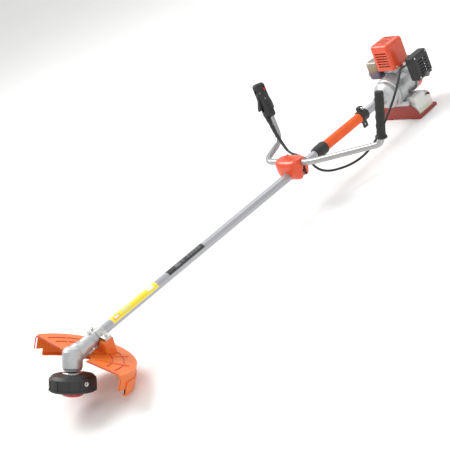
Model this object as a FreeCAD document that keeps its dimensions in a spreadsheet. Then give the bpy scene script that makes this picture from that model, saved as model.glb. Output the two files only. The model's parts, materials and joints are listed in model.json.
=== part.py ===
"""Petrol string trimmer with a cowhorn handlebar, built piece by piece.

Every piece is modelled on the shaft: +X runs forward along the tube to the cutting head,
+Y is the operator's left and +Z is up, with X = 0 above the middle of the engine stand.
One base placement then tips the machine until the stand and the guard both touch the floor.
"""
import FreeCAD, Part
import math
import os
import Sketcher
from FreeCAD import Placement, Rotation, Vector

doc = FreeCAD.newDocument("StringTrimmer")
sheet = doc.addObject("Spreadsheet::Sheet", "Dimensions")


class Size:
    """A length with its number and the sheet expression that it comes from."""

    def __init__(self, number, text):
        self.number = float(number)
        self.text = text

    def __add__(self, other):
        return combine(self, "+", other)

    def __radd__(self, other):
        return combine(other, "+", self)

    def __sub__(self, other):
        return combine(self, "-", other)

    def __rsub__(self, other):
        return combine(other, "-", self)

    def __mul__(self, other):
        return combine(self, "*", other)

    def __rmul__(self, other):
        return combine(other, "*", self)

    def __truediv__(self, other):
        return combine(self, "/", other)

    def __neg__(self):
        return combine(0, "-", self)

    def __float__(self):
        return self.number


def combine(left, sign, right):
    """The Size that an operator gives, with both its number and its expression."""
    first = left if isinstance(left, Size) else Size(left, "%.6g" % left)
    second = right if isinstance(right, Size) else Size(right, "%.6g" % right)
    number = {
        "+": first.number + second.number,
        "-": first.number - second.number,
        "*": first.number * second.number,
        "/": first.number / (second.number or 1.0),
    }[sign]
    return Size(number, "(%s %s %s)" % (first.text, sign, second.text))


def cell(alias, number, note):
    """Write one driving dimension into the sheet and hand it back as a Size."""
    row = cell.row = getattr(cell, "row", 0) + 1
    sheet.set("A%d" % row, note)
    sheet.set("B%d" % row, "%g" % number)
    sheet.setAlias("B%d" % row, alias)
    return Size(number, "Dimensions.%s" % alias)


# ---------------------------------------------------------------- driving dimensions
pitch = cell("pitch_angle", 1.54, "tip of the shaft on the floor, degrees")
axis_height = cell("axis_height", 107.0, "height of the shaft above the stand's base")
tube_od = cell("tube_od", 28.0, "outer diameter of the main tube")
tube_wall = cell("tube_wall", 1.5, "wall of the main tube")
tube_rear = cell("tube_rear", 104.0, "rear end of the tube in the clutch housing")
tube_front = cell("tube_front", 1447.0, "front end of the tube in the gear case")
shaft_od = cell("shaft_od", 8.0, "diameter of the drive shaft")
head_station = cell("head_station", 1512.0, "where the output axis meets the shaft axis")
head_angle = cell("head_angle", 60.0, "output axis below the shaft axis, degrees")
case_radius = cell("case_radius", 27.0, "radius of the gear case about the output axis")
head_radius = cell("head_radius", 62.0, "radius of the trimmer head")
spool_radius = cell("spool_radius", 50.0, "radius of the spool's flanges")
knob_radius = cell("knob_radius", 30.0, "radius of the bump knob")
guard_radius = cell("guard_radius", 170.0, "radius of the guard about the output axis")
guard_roll = cell("guard_roll", 15.0, "turn of the guard on the tube, degrees")
guard_station = cell("guard_station", 1413.0, "middle of the guard's clamp on the tube")
handle_station = cell("handle_station", 564.0, "middle of the handlebar clamp")
bar_od = cell("bar_od", 19.0, "outer diameter of the handlebar")
bar_wall = cell("bar_wall", 2.0, "wall of the handlebar")
bar_rise = cell("bar_rise", 32.0, "handlebar axis above the shaft axis")
grip_radius = cell("grip_radius", 14.0, "radius of the plain grip")
cable_od = cell("cable_od", 7.5, "outer diameter of the throttle cable's conduit")
sleeve_radius = cell("sleeve_radius", 16.2, "radius of the foam sleeve")
drum_radius = cell("drum_radius", 39.0, "outer radius of the clutch drum")
bore_radius = cell("bore_radius", 20.0, "radius of the engine's cylinder bore")
stroke = cell("piston_stroke", 34.0, "stroke of the engine")
stand_length = cell("stand_length", 98.0, "engine stand along the shaft")
stand_width = cell("stand_width", 154.0, "engine stand across the shaft")
screw_radius = cell("screw_radius", 2.5, "radius of the M5 screws")
doc.recompute()

FIT = 0.05
CLEAR = 0.3
X_AXIS = Vector(1, 0, 0)
Y_AXIS = Vector(0, 1, 0)
Z_AXIS = Vector(0, 0, 1)
FRAME = Placement(
    Vector(0, 0, float(axis_height)),
    Rotation(Y_AXIS, -float(pitch)),
)
PIECES = {}
TOOLS = {}


# ---------------------------------------------------------------- helpers
def bind(thing, name, value):
    """Set a property, and tie it to the sheet when the value comes from there."""
    setattr(thing, name, float(value))
    if isinstance(value, Size):
        thing.setExpression(name, value.text)


def aim(point, direction, side=None):
    """The placement whose own Z runs along direction, and own X near side, at point."""
    z = Vector(direction).normalize()
    if side is None:
        return Placement(Vector(point), Rotation(Z_AXIS, z))
    x = Vector(side) - z * z.dot(Vector(side))
    x.normalize()
    y = z.cross(x)
    return Placement(Vector(point), Rotation(x, y, z, "ZXY"))


def unit(x, y, z):
    """A direction of length one."""
    return Vector(x, y, z).normalize()


def cylinder(radius, length, place, name="Rod", sweep=None):
    """A cylinder or a sector of one, along its placement's own Z."""
    rod = doc.addObject("Part::Cylinder", name)
    bind(rod, "Radius", radius)
    bind(rod, "Height", length)
    if sweep is not None:
        bind(rod, "Angle", sweep)
    rod.Placement = place
    return rod


def cone(radius_low, radius_high, length, place, name="Taper"):
    """A cone frustum along its placement's own Z."""
    taper = doc.addObject("Part::Cone", name)
    bind(taper, "Radius1", radius_low)
    bind(taper, "Radius2", radius_high)
    bind(taper, "Height", length)
    taper.Placement = place
    return taper


def ball(radius, point, name="Ball"):
    """A sphere about a point."""
    sphere = doc.addObject("Part::Sphere", name)
    bind(sphere, "Radius", radius)
    sphere.Placement = Placement(Vector(point), Rotation())
    return sphere


def block(low, high, place=Placement(), name="Block", radius=0.0):
    """A box between two corners of a placement's own axes, its edges rounded if asked."""
    cube = doc.addObject("Part::Box", name)
    bind(cube, "Length", high[0] - low[0])
    bind(cube, "Width", high[1] - low[1])
    bind(cube, "Height", high[2] - low[2])
    corner = Vector(float(low[0]), float(low[1]), float(low[2]))
    cube.Placement = place.multiply(Placement(corner, Rotation()))
    if not radius:
        return cube
    return rounded(cube, radius, range(1, 13))


def rounded(base, radius, edges):
    """Round the numbered edges of a solid."""
    fillet = doc.addObject("Part::Fillet", "Rounding")
    fillet.Base = base
    fillet.Edges = [(number, float(radius), float(radius)) for number in edges]
    return fillet


def fuse(*shapes):
    """One solid out of several that touch or overlap."""
    union = doc.addObject("Part::MultiFuse", "Union")
    union.Shapes = list(shapes)
    union.Refine = True
    return union


def group(*shapes):
    """Several separate solids that make one sub-part."""
    bundle = doc.addObject("Part::Compound", "Set")
    bundle.Links = list(shapes)
    return bundle


def cut(base, *tools):
    """A solid less one or more others."""
    for tool in tools:
        result = doc.addObject("Part::Cut", "Cutting")
        result.Base = base
        result.Tool = tool
        result.Refine = True
        base = result
    return base


def common(first, second):
    """What two solids share."""
    shared = doc.addObject("Part::Common", "Sharing")
    shared.Base = first
    shared.Tool = second
    return shared


def outline(sketch, points):
    """Draw a closed outline of straight edges and pin each corner to the sheet."""
    count = len(points)
    for index, point in enumerate(points):
        following = points[(index + 1) % count]
        start = Vector(float(point[0]), float(point[1]), 0)
        end = Vector(float(following[0]), float(following[1]), 0)
        sketch.addGeometry(Part.LineSegment(start, end), False)
    for index in range(count):
        sketch.addConstraint(Sketcher.Constraint("Coincident", index, 2, (index + 1) % count, 1))
    for index, point in enumerate(points):
        for kind, axis, value in (("DistanceX", -2, point[0]), ("DistanceY", -1, point[1])):
            number = float(value)
            if abs(number) < 1e-9:
                sketch.addConstraint(Sketcher.Constraint("PointOnObject", index, 1, axis))
                continue
            ends = (-1, 1, index, 1) if number > 0 else (index, 1, -1, 1)
            name = sketch.addConstraint(Sketcher.Constraint(kind, *ends, abs(number)))
            if isinstance(value, Size):
                text = value.text if number > 0 else "-(%s)" % value.text
                sketch.setExpression("Constraints[%d]" % name, text)


def sketched_body(name, role, points):
    """A body with one closed sketch on one of its own origin planes."""
    body = doc.addObject("PartDesign::Body", name)
    sketch = body.newObject("Sketcher::SketchObject", name + "Sketch")
    plane = [item for item in body.Origin.OriginFeatures if item.Role == role][0]
    sketch.AttachmentSupport = (plane, "")
    sketch.MapMode = "FlatFace"
    outline(sketch, points)
    return body, sketch


def turned(points, place, name="Turning"):
    """A turned solid: (radius, height) corners spun about its placement's own Z."""
    body, sketch = sketched_body(name, "XZ_Plane", points)
    spin = body.newObject("PartDesign::Revolution", name + "Spin")
    spin.Profile = sketch
    spin.ReferenceAxis = (sketch, ["V_Axis"])
    spin.Angle = 360
    body.Placement = place
    return body


def plate(points, thickness, place, name="Plate"):
    """A flat piece: a corner outline in its placement's XY, padded evenly both ways along Z."""
    body, sketch = sketched_body(name, "XY_Plane", points)
    pad = body.newObject("PartDesign::Pad", name + "Pad")
    pad.Profile = sketch
    pad.Midplane = True
    bind(pad, "Length", thickness)
    body.Placement = place
    return body


def ring(inner, outer, low, high, place, name="Ring"):
    """A plain ring between two heights."""
    return turned([(inner, low), (outer, low), (outer, high), (inner, high)], place, name)


def disc(outer, low, high, place, name="Disc"):
    """A plain disc between two heights."""
    return turned([(0, low), (outer, low), (outer, high), (0, high)], place, name)


def route(points, radii):
    """Straight runs between the points, joined by tangent arcs of the given radii."""
    corners = [Vector(point) for point in points]
    edges = []
    start = corners[0]
    for before, corner, after, radius in zip(corners, corners[1:], corners[2:], radii):
        back = (before - corner).normalize()
        ahead = (after - corner).normalize()
        half_turn = (math.pi - back.getAngle(ahead)) / 2
        reach = float(radius) * math.tan(half_turn)
        first = corner + back * reach
        last = corner + ahead * reach
        inward = (back + ahead).normalize()
        centre = corner + inward * (float(radius) / math.cos(half_turn))
        middle = centre - inward * float(radius)
        edges.append(Part.LineSegment(start, first).toShape())
        edges.append(Part.Arc(first, middle, last).toShape())
        start = last
    edges.append(Part.LineSegment(start, corners[-1]).toShape())
    return Part.Wire(edges)


def free_radii(points, diameter):
    """The largest even arc radius that each corner of a free cable has room for."""
    corners = [Vector(point) for point in points]
    radii = []
    for before, corner, after in zip(corners, corners[1:], corners[2:]):
        shorter = min((before - corner).Length, (after - corner).Length)
        turn = math.pi - (before - corner).getAngle(after - corner)
        radii.append(0.45 * shorter / math.tan(turn / 2))
    print("cable arcs in diameters:", ["%.1f" % (radius / diameter) for radius in radii])
    return radii


def swept(wire, radius):
    """A round rod along a wire, checked against its section times its length."""
    start = wire.Edges[0]
    tangent = start.tangentAt(start.FirstParameter)
    circle = Part.Circle(start.valueAt(start.FirstParameter), tangent, float(radius)).toShape()
    solid = wire.makePipeShell([Part.Wire(circle)], True, True)
    expected = math.pi * float(radius) ** 2 * wire.Length
    if abs(solid.Volume / expected - 1) > 0.01:
        raise RuntimeError("a swept rod has the wrong volume")
    return solid


def drawn(shape, name="Drawn"):
    """A shape worked out above, as an object of the document."""
    feature = doc.addObject("Part::Feature", name)
    feature.Shape = shape
    return feature


def keep(label, piece):
    """Name a finished sub-part and put it in the machine's frame."""
    piece.Label = label
    piece.Placement = FRAME.multiply(piece.Placement)
    PIECES[label] = piece
    return piece


# ---------------------------------------------------------------- frames on the machine
SHAFT = aim((0, 0, 0), X_AXIS, Z_AXIS)
SLOPE = math.radians(float(head_angle))
APEX = Vector(float(head_station), 0, 0)
OUTPUT = Vector(math.cos(SLOPE), 0, -math.sin(SLOPE))
CUTTER = aim(APEX, OUTPUT, -X_AXIS)
ROLLED = Placement(Vector(0, 0, 0), Rotation(X_AXIS, -float(guard_roll)))
GUARD = ROLLED.multiply(aim(APEX, -OUTPUT, -X_AXIS))
CLAMP = Placement(Vector(float(handle_station), 0, 0), Rotation())

RIGHT_BEND = Vector(470, -117.3, 56.1)
RIGHT_END = Vector(444.4, -145.9, 172)
LEFT_BEND = Vector(500, 321.8, 54.7)
LEFT_END = Vector(473.6, 353.4, 197.3)
THROTTLE = aim(RIGHT_BEND, RIGHT_END - RIGHT_BEND, X_AXIS)
LEFT_ARM = aim(LEFT_BEND, LEFT_END - LEFT_BEND, X_AXIS)

PULLEY_Y = 25.0
PULL_X = -61.0


# ---------------------------------------------------------------- screws shared by the clamps
def screw(point, direction, length):
    """A socket-head screw whose head's underside sits at the point and faces direction."""
    place = aim(point, direction)
    socket_depth = 3.0
    head = screw_radius * 1.7
    profile = [
        (0, socket_depth - 1.0),
        (screw_radius * 0.8, socket_depth - 1.0),
        (screw_radius * 0.8, screw_radius * 2),
        (head, screw_radius * 2),
        (head, 0),
        (screw_radius, 0),
        (screw_radius, -length),
        (0, -length),
    ]
    return turned(profile, place, "Screw")


def cap_screws():
    """The M5 screws of the guard, the handlebar clamp, the hanger and the gear case."""
    screws = []
    for side in (-1, 1):
        place = ROLLED.multVec(Vector(float(guard_station), side * 27.0, 5.0))
        screws.append(screw(place, ROLLED.multVec(Z_AXIS), 34))
        for along in (-11, 11):
            point = CLAMP.multVec(Vector(along * 1.4, side * 23, 43.0))
            screws.append(screw(point, Z_AXIS, 58))
    screws.append(screw((215.5, 8, 25.5), Y_AXIS, 16))
    screws.append(screw((1437.5, 0, 18.6), Z_AXIS, 4.2))
    for along in (-1, 1):
        point = APEX + Vector(-58, along * 12, -16)
        screws.append(screw(point, unit(0, along * 0.75, -1), 6))
    TOOLS["screws"] = group(*screws)
    return keep("cap_screws", group(*screws))


# ---------------------------------------------------------------- shaft
def main_tube():
    """The aluminium tube from the clutch housing to the gear case."""
    inner = tube_od / 2 - tube_wall
    tube = ring(inner, tube_od / 2, tube_rear, tube_front, SHAFT, "Tube")
    return keep("main_tube", tube)


def drive_shaft():
    """The solid steel shaft inside the tube, with a chamfer at each end."""
    radius = shaft_od / 2
    rear = tube_rear - 6
    front = head_station - 36
    profile = [
        (0, rear),
        (radius - 0.8, rear),
        (radius, rear + 1),
        (radius, front - 1),
        (radius - 0.8, front),
        (0, front),
    ]
    return keep("drive_shaft", turned(profile, SHAFT, "DriveShaft"))


def shaft_bushes():
    """Oil-filled bushes in rubber that carry the drive shaft along the tube."""
    count = 6
    first = 220.0
    spacing = 228.0
    inner = shaft_od / 2 + FIT
    outer = tube_od / 2 - tube_wall
    bushes = []
    for index in range(count):
        low = first + spacing * index
        bushes.append(ring(inner, outer, low, low + 22, SHAFT, "Bush"))
    return keep("shaft_bushes", group(*bushes))


# ---------------------------------------------------------------- gear head
PINION_TEETH = 13
GEAR_TEETH = 17
MODULE = 2.0
FACE = 6.5
CONE_SUM = math.radians(180 - float(head_angle))
PINION_CONE = math.atan2(math.sin(CONE_SUM), GEAR_TEETH / PINION_TEETH + math.cos(CONE_SUM))
GEAR_CONE = CONE_SUM - PINION_CONE
CONE_REACH = MODULE * PINION_TEETH / 2 / math.sin(PINION_CONE)


def bevel_tooth(cone_angle, teeth, turn):
    """One straight bevel tooth that narrows towards the apex, turned about Z."""
    tip = 0.75 * MODULE
    root = 1.05 * MODULE
    half_tip = 0.26 * MODULE
    half_root = 0.95 * MODULE
    wires = []
    for reach in (CONE_REACH, CONE_REACH - FACE):
        share = reach / CONE_REACH
        corners = []
        for lift, half in ((-root, -half_root), (tip, -half_tip), (tip, half_tip), (-root, half_root)):
            out = reach * math.sin(cone_angle) + share * lift * math.cos(cone_angle)
            up = reach * math.cos(cone_angle) - share * lift * math.sin(cone_angle)
            corners.append(Vector(out, share * half, up))
        corners.append(corners[0])
        wires.append(Part.makePolygon(corners))
    tooth = Part.makeLoft(wires, True, True)
    tooth.rotate(Vector(0, 0, 0), Z_AXIS, math.degrees(2 * math.pi * turn / teeth))
    return tooth


def bevel_gear(cone_angle, teeth, phase, hub):
    """A bevel gear with its apex at the origin: a root cone, its teeth and a turned hub."""
    root = 0.95 * MODULE
    ends = []
    for reach in (CONE_REACH, CONE_REACH - FACE):
        share = reach / CONE_REACH
        out = reach * math.sin(cone_angle) - share * root * math.cos(cone_angle)
        up = reach * math.cos(cone_angle) + share * root * math.sin(cone_angle)
        ends.append((out, up))
    wheel = Part.makeCone(ends[1][0], ends[0][0], ends[0][1] - ends[1][1], Vector(0, 0, ends[1][1]))
    back = Part.makeCylinder(hub[0], hub[1], Vector(0, 0, ends[0][1]))
    teeth_solids = [bevel_tooth(cone_angle, teeth, index + phase) for index in range(teeth)]
    return wheel.multiFuse([back] + teeth_solids)


def gear_case():
    """The cast gear case: a neck that takes the tube and a body about the output axis."""
    neck_rear = head_station - 84
    neck = turned(
        [
            (0, neck_rear), (18, neck_rear), (18, neck_rear + 14), (20, neck_rear + 18),
            (20, neck_rear + 46), (24, neck_rear + 62), (24, head_station - 6), (0, head_station - 6),
        ],
        SHAFT, "Neck",
    )
    body = turned(
        [
            (0, -24), (15, -24), (22, -20), (case_radius, -12), (case_radius, 30),
            (case_radius - 3, 36), (case_radius - 3, 37), (0, 37),
        ],
        CUTTER, "CaseBody",
    )
    rib = block((-80, -3, -28), (-20, 3, -14), Placement(APEX, Rotation()), "Rib")
    outside = fuse(neck, body, rib)
    bores = [
        ring(0, tube_od / 2, neck_rear - 1, tube_front, SHAFT, "TubeBore"),
        disc(12, tube_front - 1, head_station - 45, SHAFT, "ShaftBore"),
        disc(13, head_station - 46, head_station - 18, SHAFT, "BearingBore"),
        disc(15.5, head_station - 20, head_station, SHAFT, "PinionRoom"),
        disc(20.5, -12, 13, CUTTER, "GearRoom"),
        disc(15, 12, 38, CUTTER, "SpindleBore"),
    ]
    return keep("gear_case", cut(outside, *bores, TOOLS["screws"]))


def gear_case_bearings():
    """Two ball bearings on the pinion, two on the spindle, and the ring that holds them."""
    rings = []
    for low in (-46, -28):
        start = head_station + low
        rings.append(ring(5 + FIT, 13, start, start + 8, SHAFT, "PinionBearing"))
    for low in (13.5, 24):
        rings.append(ring(6 + FIT, 15, low, low + 10, CUTTER, "SpindleBearing"))
    rings.append(ring(12, 15, 34.2, 35.6, CUTTER, "Circlip"))
    return keep("gear_case_bearings", group(*rings))


def pinion_gear():
    """The thirteen-tooth pinion with its journal and the socket for the drive shaft."""
    # The tooth that meshes points down, towards the output axis.
    gear = bevel_gear(PINION_CONE, PINION_TEETH, 0, (9.5, 4.0))
    journal_low = CONE_REACH * math.cos(PINION_CONE) + 1
    journal = Part.makeCylinder(5, 46.5 - journal_low, Vector(0, 0, journal_low))
    socket = Part.makeCylinder(float(shaft_od) / 2, 11, Vector(0, 0, 36))
    solid = gear.fuse(journal).cut(socket)
    piece = drawn(solid, "Pinion")
    piece.Placement = aim(APEX, -X_AXIS, -Z_AXIS)
    return keep("pinion_gear", piece)


def driven_gear():
    """The seventeen-tooth gear on the output spindle."""
    # A gap, not a tooth, faces the pinion.
    gear = bevel_gear(GEAR_CONE, GEAR_TEETH, 0.5, (11.0, 4.6))
    solid = gear.cut(Part.makeCylinder(5, 40, Vector(0, 0, -5)))
    piece = drawn(solid, "DrivenGear")
    piece.Placement = aim(APEX, OUTPUT, -X_AXIS)
    return keep("driven_gear", piece)


def output_spindle():
    """The stepped steel spindle: gear seat, bearing seat, flange seat and thread."""
    profile = [
        (0, 4.4), (4.2, 4.4), (5, 5.2), (5, 13), (6, 13), (6, 46), (4.9, 46), (4.9, 65),
        (4.1, 66), (0, 66),
    ]
    return keep("output_spindle", turned(profile, CUTTER, "Spindle"))


def upper_flange():
    """The steel flange under the gear case that the trimmer head screws up against."""
    profile = [(6, 38.5), (11, 38.5), (13, 41), (26, 42.5), (27, 43.5), (27, 46), (6, 46)]
    return keep("upper_flange", turned(profile, CUTTER, "Flange"))


# ---------------------------------------------------------------- trimmer head
def head_housing():
    """The head's bell: a ribbed shell with a threaded post and two line exits."""
    wall = 3.0
    outer = head_radius
    bell = turned(
        [
            (4.9, 46), (outer * 0.62, 46), (outer - 8, 49), (outer, 57), (outer, 84),
            (outer - wall, 84), (outer - wall, 58.5), (outer - 9.5, 52), (outer * 0.6, 49),
            (16, 49), (12, 50), (12, 68), (4.9, 68),
        ],
        CUTTER, "Bell",
    )
    ribs = []
    count = 12
    for index in range(count):
        angle = 360.0 / count * (index + 0.5)
        turn = CUTTER.multiply(Placement(Vector(0, 0, 0), Rotation(Z_AXIS, angle)))
        ribs.append(block((outer - 1.5, -2, 60), (outer + 1.6, 2, 82), turn, "Rib"))
    exits = []
    for side in (-1, 1):
        place = aim(CUTTER.multVec(Vector(0, side * (float(outer) - 6), 66)), Y_AXIS * side)
        exits.append(cylinder(4.5, 10, place, "LineExit"))
    return keep("head_housing", cut(fuse(bell, *ribs), *exits))


def line_spool():
    """The spool that the line is wound on, with a pocket for the spring."""
    profile = [
        (13, 57), (14, 57), (14, 57.5), (20, 57.5), (20, 57), (spool_radius, 57),
        (spool_radius, 59.5), (26, 59.5), (26, 76.5), (spool_radius, 76.5), (spool_radius, 79),
        (13, 79),
    ]
    spool = turned(profile, CUTTER, "Spool")
    pocket = ring(13, 19, 56, 71, CUTTER, "SpringPocket")
    return keep("line_spool", cut(spool, pocket))


def wound_line():
    """The nylon line wound on the spool, as one coil with a ridge for each turn."""
    turns = 5
    low = 59.5
    pitch_of_turn = (76.5 - low) / turns
    inner = 26
    outer = 44.0
    profile = [(inner, low)]
    for index in range(turns):
        start = low + pitch_of_turn * index
        profile.append((outer - 1, start))
        profile.append((outer, start + pitch_of_turn / 2))
    profile.append((outer - 1, 76.5))
    profile.append((inner, 76.5))
    return keep("wound_line", turned(profile, CUTTER, "Winding"))


def head_spring():
    """The spring that keeps the knob down, drawn at its length with the knob pressed."""
    turns = 5
    wire = 0.8
    centre = 16.0
    coils = []
    for index in range(turns):
        loop = doc.addObject("Part::Torus", "Coil")
        loop.Radius1 = centre
        loop.Radius2 = wire
        height = 50.7 + 2.9 * index
        loop.Placement = CUTTER.multiply(Placement(Vector(0, 0, height), Rotation(X_AXIS, 1.5)))
        coils.append(loop)
    return keep("head_spring", group(*coils))


def head_cover():
    """The snap-on cover under the head, open in the middle for the knob."""
    outer = head_radius
    rim = knob_radius + 1.5
    profile = [
        (rim, 83), (outer - 3.2, 83), (outer - 3.2, 84.2), (outer + 1.5, 84.2), (outer + 1.5, 88),
        (outer - 3, 91.5), (rim + 4, 93), (rim, 93), (rim, 83),
    ]
    cover = turned(profile[:-1], CUTTER, "Cover")
    inside = ring(knob_radius + 4, outer - 6, 82, 88, CUTTER, "CoverRoom")
    return keep("head_cover", cut(cover, inside))


def bump_knob():
    """The knob that is bumped on the ground to feed line."""
    radius = knob_radius
    profile = [
        (0, 79), (radius, 79), (radius, 98), (radius - 3, 103), (radius - 12, 106.5), (0, 108),
    ]
    knob = turned(profile, CUTTER, "Knob")
    grooves = []
    count = 8
    for index in range(count):
        angle = math.radians(360.0 / count * index)
        centre = Vector(math.cos(angle), math.sin(angle), 0) * (float(radius) + 3.2)
        place = CUTTER.multiply(Placement(centre + Z_AXIS * 95, Rotation()))
        grooves.append(cylinder(5, 16, place, "Groove"))
    return keep("bump_knob", cut(knob, *grooves))


# ---------------------------------------------------------------- guard
PLATE_LOW = -1.0
PLATE_HIGH = 2.0
SKIRT_LOW = -40.0
EXTENSION_LOW = -60.0
GUARD_SWEEP = 170.0


def sector(radius, low, high, sweep, name):
    """A sector of a disc behind the cutting head, on the guard's own axes."""
    swing = Placement(Vector(0, 0, low), Rotation(Z_AXIS, -float(sweep) / 2))
    return cylinder(radius, high - low, GUARD.multiply(swing), name, sweep)


def hood_room(radius, low, high, corner):
    """The hollow under the guard's plate: a disc whose upper edge is a quarter round."""
    base = GUARD.multiply(Placement(Vector(0, 0, low), Rotation()))
    bend = doc.addObject("Part::Torus", "Bend")
    bind(bend, "Radius1", radius - corner)
    bind(bend, "Radius2", corner)
    bend.Placement = GUARD.multiply(Placement(Vector(0, 0, high - corner), Rotation()))
    wide = cylinder(radius, high - low - corner, base, "Wide")
    narrow = cylinder(radius - corner, high - low, base, "Narrow")
    return fuse(wide, narrow, bend)


def guard():
    """The orange deflector: a sector plate with a rounded skirt and a clamp block."""
    wall = 3.0
    outside = rounded(sector(guard_radius, SKIRT_LOW, PLATE_HIGH, GUARD_SWEEP, "Hood"), 14, [1])
    inside = hood_room(guard_radius - wall, SKIRT_LOW - 5, PLATE_LOW, 11.0)
    shell = cut(outside, inside)
    ribs = []
    for angle in (-56, -28, 28, 56):
        swing = GUARD.multiply(Placement(Vector(0, 0, 0), Rotation(Z_AXIS, angle)))
        end = (guard_radius - 17, 1.5, PLATE_HIGH + 2)
        ribs.append(block((60, -1.5, PLATE_LOW + 2), end, swing, "Rib"))
    along = float(guard_station)
    tall_block = block((along - 16, -37, -80), (along + 20, 37, -5), ROLLED, "ClampBlock", 4)
    under_plate = block((-300, -300, -200), (300, 300, PLATE_LOW), GUARD, "UnderPlate")
    whole = fuse(shell, cut(tall_block, under_plate), *ribs)
    opening = cylinder(
        48, 60, GUARD.multiply(Placement(Vector(0, 0, -10), Rotation())), "CaseOpening",
    )
    saddle = ring(0, tube_od / 2 + 3, along - 40, along + 40, SHAFT, "Saddle")
    hollow = block((along - 10, -17, -100), (along + 14, 17, -24), ROLLED, "Hollow")
    neck_way = disc(21, along + 14, along + 90, SHAFT, "NeckWay")
    rib_way = block((along + 14, -5, -32), (along + 90, 5, -10), Placement(), "RibWay")
    tools = (opening, saddle, hollow, neck_way, rib_way, TOOLS["screws"])
    return keep("guard", cut(whole, *tools))


def guard_bracket():
    """The steel clamp that holds the guard on the tube, in two halves with ears."""
    along = float(guard_station)
    band = ring(tube_od / 2, tube_od / 2 + 3, along - 13, along + 13, SHAFT, "Band")
    ears = block((along - 12, -37, -5), (along + 12, 37, 5), ROLLED, "Ears", 1.5)
    tube_way = ring(0, tube_od / 2, along - 20, along + 20, SHAFT, "TubeWay")
    split = block((along - 20, -40, -0.6), (along + 20, 40, 0.6), ROLLED, "Split")
    halves = cut(fuse(band, ears), tube_way, split, TOOLS["screws"])
    return keep("guard_bracket", halves)


def guard_extension():
    """The clip-on skirt used with a line head, outside the guard's own skirt."""
    inner = guard_radius + CLEAR
    sweep = 150.0
    below = GUARD.multiply(Placement(Vector(0, 0, EXTENSION_LOW - 10), Rotation()))
    skirt = cut(
        sector(inner + 2.6, EXTENSION_LOW, SKIRT_LOW + 18, sweep, "Extension"),
        cylinder(inner, 80, below, "Way"),
    )
    lip = cut(
        sector(inner + 2.6, EXTENSION_LOW, EXTENSION_LOW + 3, sweep, "Lip"),
        cylinder(inner - 7, 80, below, "LipWay"),
    )
    return keep("guard_extension", fuse(skirt, lip))


def line_cutter():
    """The steel blade inside the skirt that trims the line to length."""
    swing = GUARD.multiply(Placement(Vector(0, 0, 0), Rotation(Z_AXIS, -70)))
    reach = float(guard_radius) - 3
    outline_points = [(-14, -20), (14, -20), (14, 2), (-4, 12), (-14, 2)]
    place = swing.multiply(aim((reach - 2.6, 0, SKIRT_LOW + 4), X_AXIS, Y_AXIS))
    blade = plate(outline_points, 1.6, place, "Blade")
    return keep("line_cutter", blade)


# ---------------------------------------------------------------- handlebar and its clamp
def bar_route():
    """The handlebar's centre line, from the throttle's end to the plain grip's end."""
    level = float(bar_rise)
    station = float(handle_station)
    points = [
        RIGHT_END, RIGHT_BEND, (station, -114, level), (station, 81.2, level),
        LEFT_BEND, LEFT_END,
    ]
    return route(points, (54.5, 28.8, 178, 26))


def handlebar():
    """One bent aluminium tube that runs from grip to grip."""
    wire = bar_route()
    outside = swept(wire, bar_od / 2)
    inside = swept(wire, bar_od / 2 - bar_wall)
    return keep("handlebar", drawn(outside.cut(inside), "Handlebar"))


def clamp_piece(low, high, half_width, tools):
    """One block of the handlebar clamp, with the grooves and screw holes cut away."""
    base = block((-21, -half_width, low), (21, half_width, high), CLAMP, "ClampPiece", 2.5)
    return cut(base, *tools)


def tube_groove():
    """The room that the main tube takes in the clamp."""
    return ring(0, tube_od / 2, handle_station - 60, handle_station + 60, SHAFT, "TubeGroove")


def bar_groove(radius):
    """The room that the straight middle of the handlebar takes."""
    start = CLAMP.multVec(Vector(0, -75, float(bar_rise)))
    return cylinder(radius, 150, aim(start, Y_AXIS), "BarGroove")


def handle_clamp_blocks():
    """The block under the main tube and the block between the tube and the handlebar."""
    lower = clamp_piece(-17, -0.5, 30, (tube_groove(), TOOLS["screws"]))
    tools = (tube_groove(), bar_groove(bar_od / 2), TOOLS["screws"])
    middle = clamp_piece(0.5, 31.5, 30, tools)
    return keep("handle_clamp_blocks", group(lower, middle))


def handle_clamp_cap():
    """The block over the handlebar."""
    tools = (bar_groove(bar_od / 2), TOOLS["screws"])
    return keep("handle_clamp_cap", clamp_piece(32.5, 43, 30, tools))


def clamp_cover():
    """The rounded orange cover that drops over the clamp, slotted for tube and bar."""
    wall = 2.5
    corner = (31, 46, 51)
    outside = block((-31, -46, -19), corner, CLAMP, "CoverSkin", 16)
    inside = block(
        (-31 + wall, -46 + wall, -19 + wall), tuple(side - wall for side in corner),
        CLAMP, "CoverRoom", 16 - wall,
    )
    mouth = block((-40, -60, -30), (40, 60, -14), CLAMP, "CoverMouth")
    tube_way = ring(0, tube_od / 2 + CLEAR, 500, 630, SHAFT, "TubeWay")
    tube_slot = block((-40, -14.3, -30), (40, 14.3, 0), CLAMP, "TubeSlot")
    bar_slot = block((-9.8, -60, -30), (9.8, 60, 32), CLAMP, "BarSlot")
    tools = (inside, mouth, tube_way, tube_slot, bar_groove(bar_od / 2 + CLEAR), bar_slot)
    return keep("clamp_cover", cut(outside, *tools))


def left_grip():
    """The plain rubber grip for the left hand, with a flange and shallow finger rings."""
    profile = [(bar_od / 2, 19), (17.5, 19), (18, 21), (17.5, 24.5), (grip_radius, 29)]
    count = 9
    for index in range(count):
        start = 44 + index * 11.0
        profile.append((grip_radius, start))
        profile.append((grip_radius - 0.9, start + 1.5))
        profile.append((grip_radius - 0.9, start + 3))
        profile.append((grip_radius, start + 4.5))
    profile += [(grip_radius, 150), (grip_radius - 2, 156), (8, 159), (0, 159), (0, 149)]
    profile.append((bar_od / 2, 149))
    return keep("left_grip", turned(profile, LEFT_ARM, "LeftGrip"))


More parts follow.
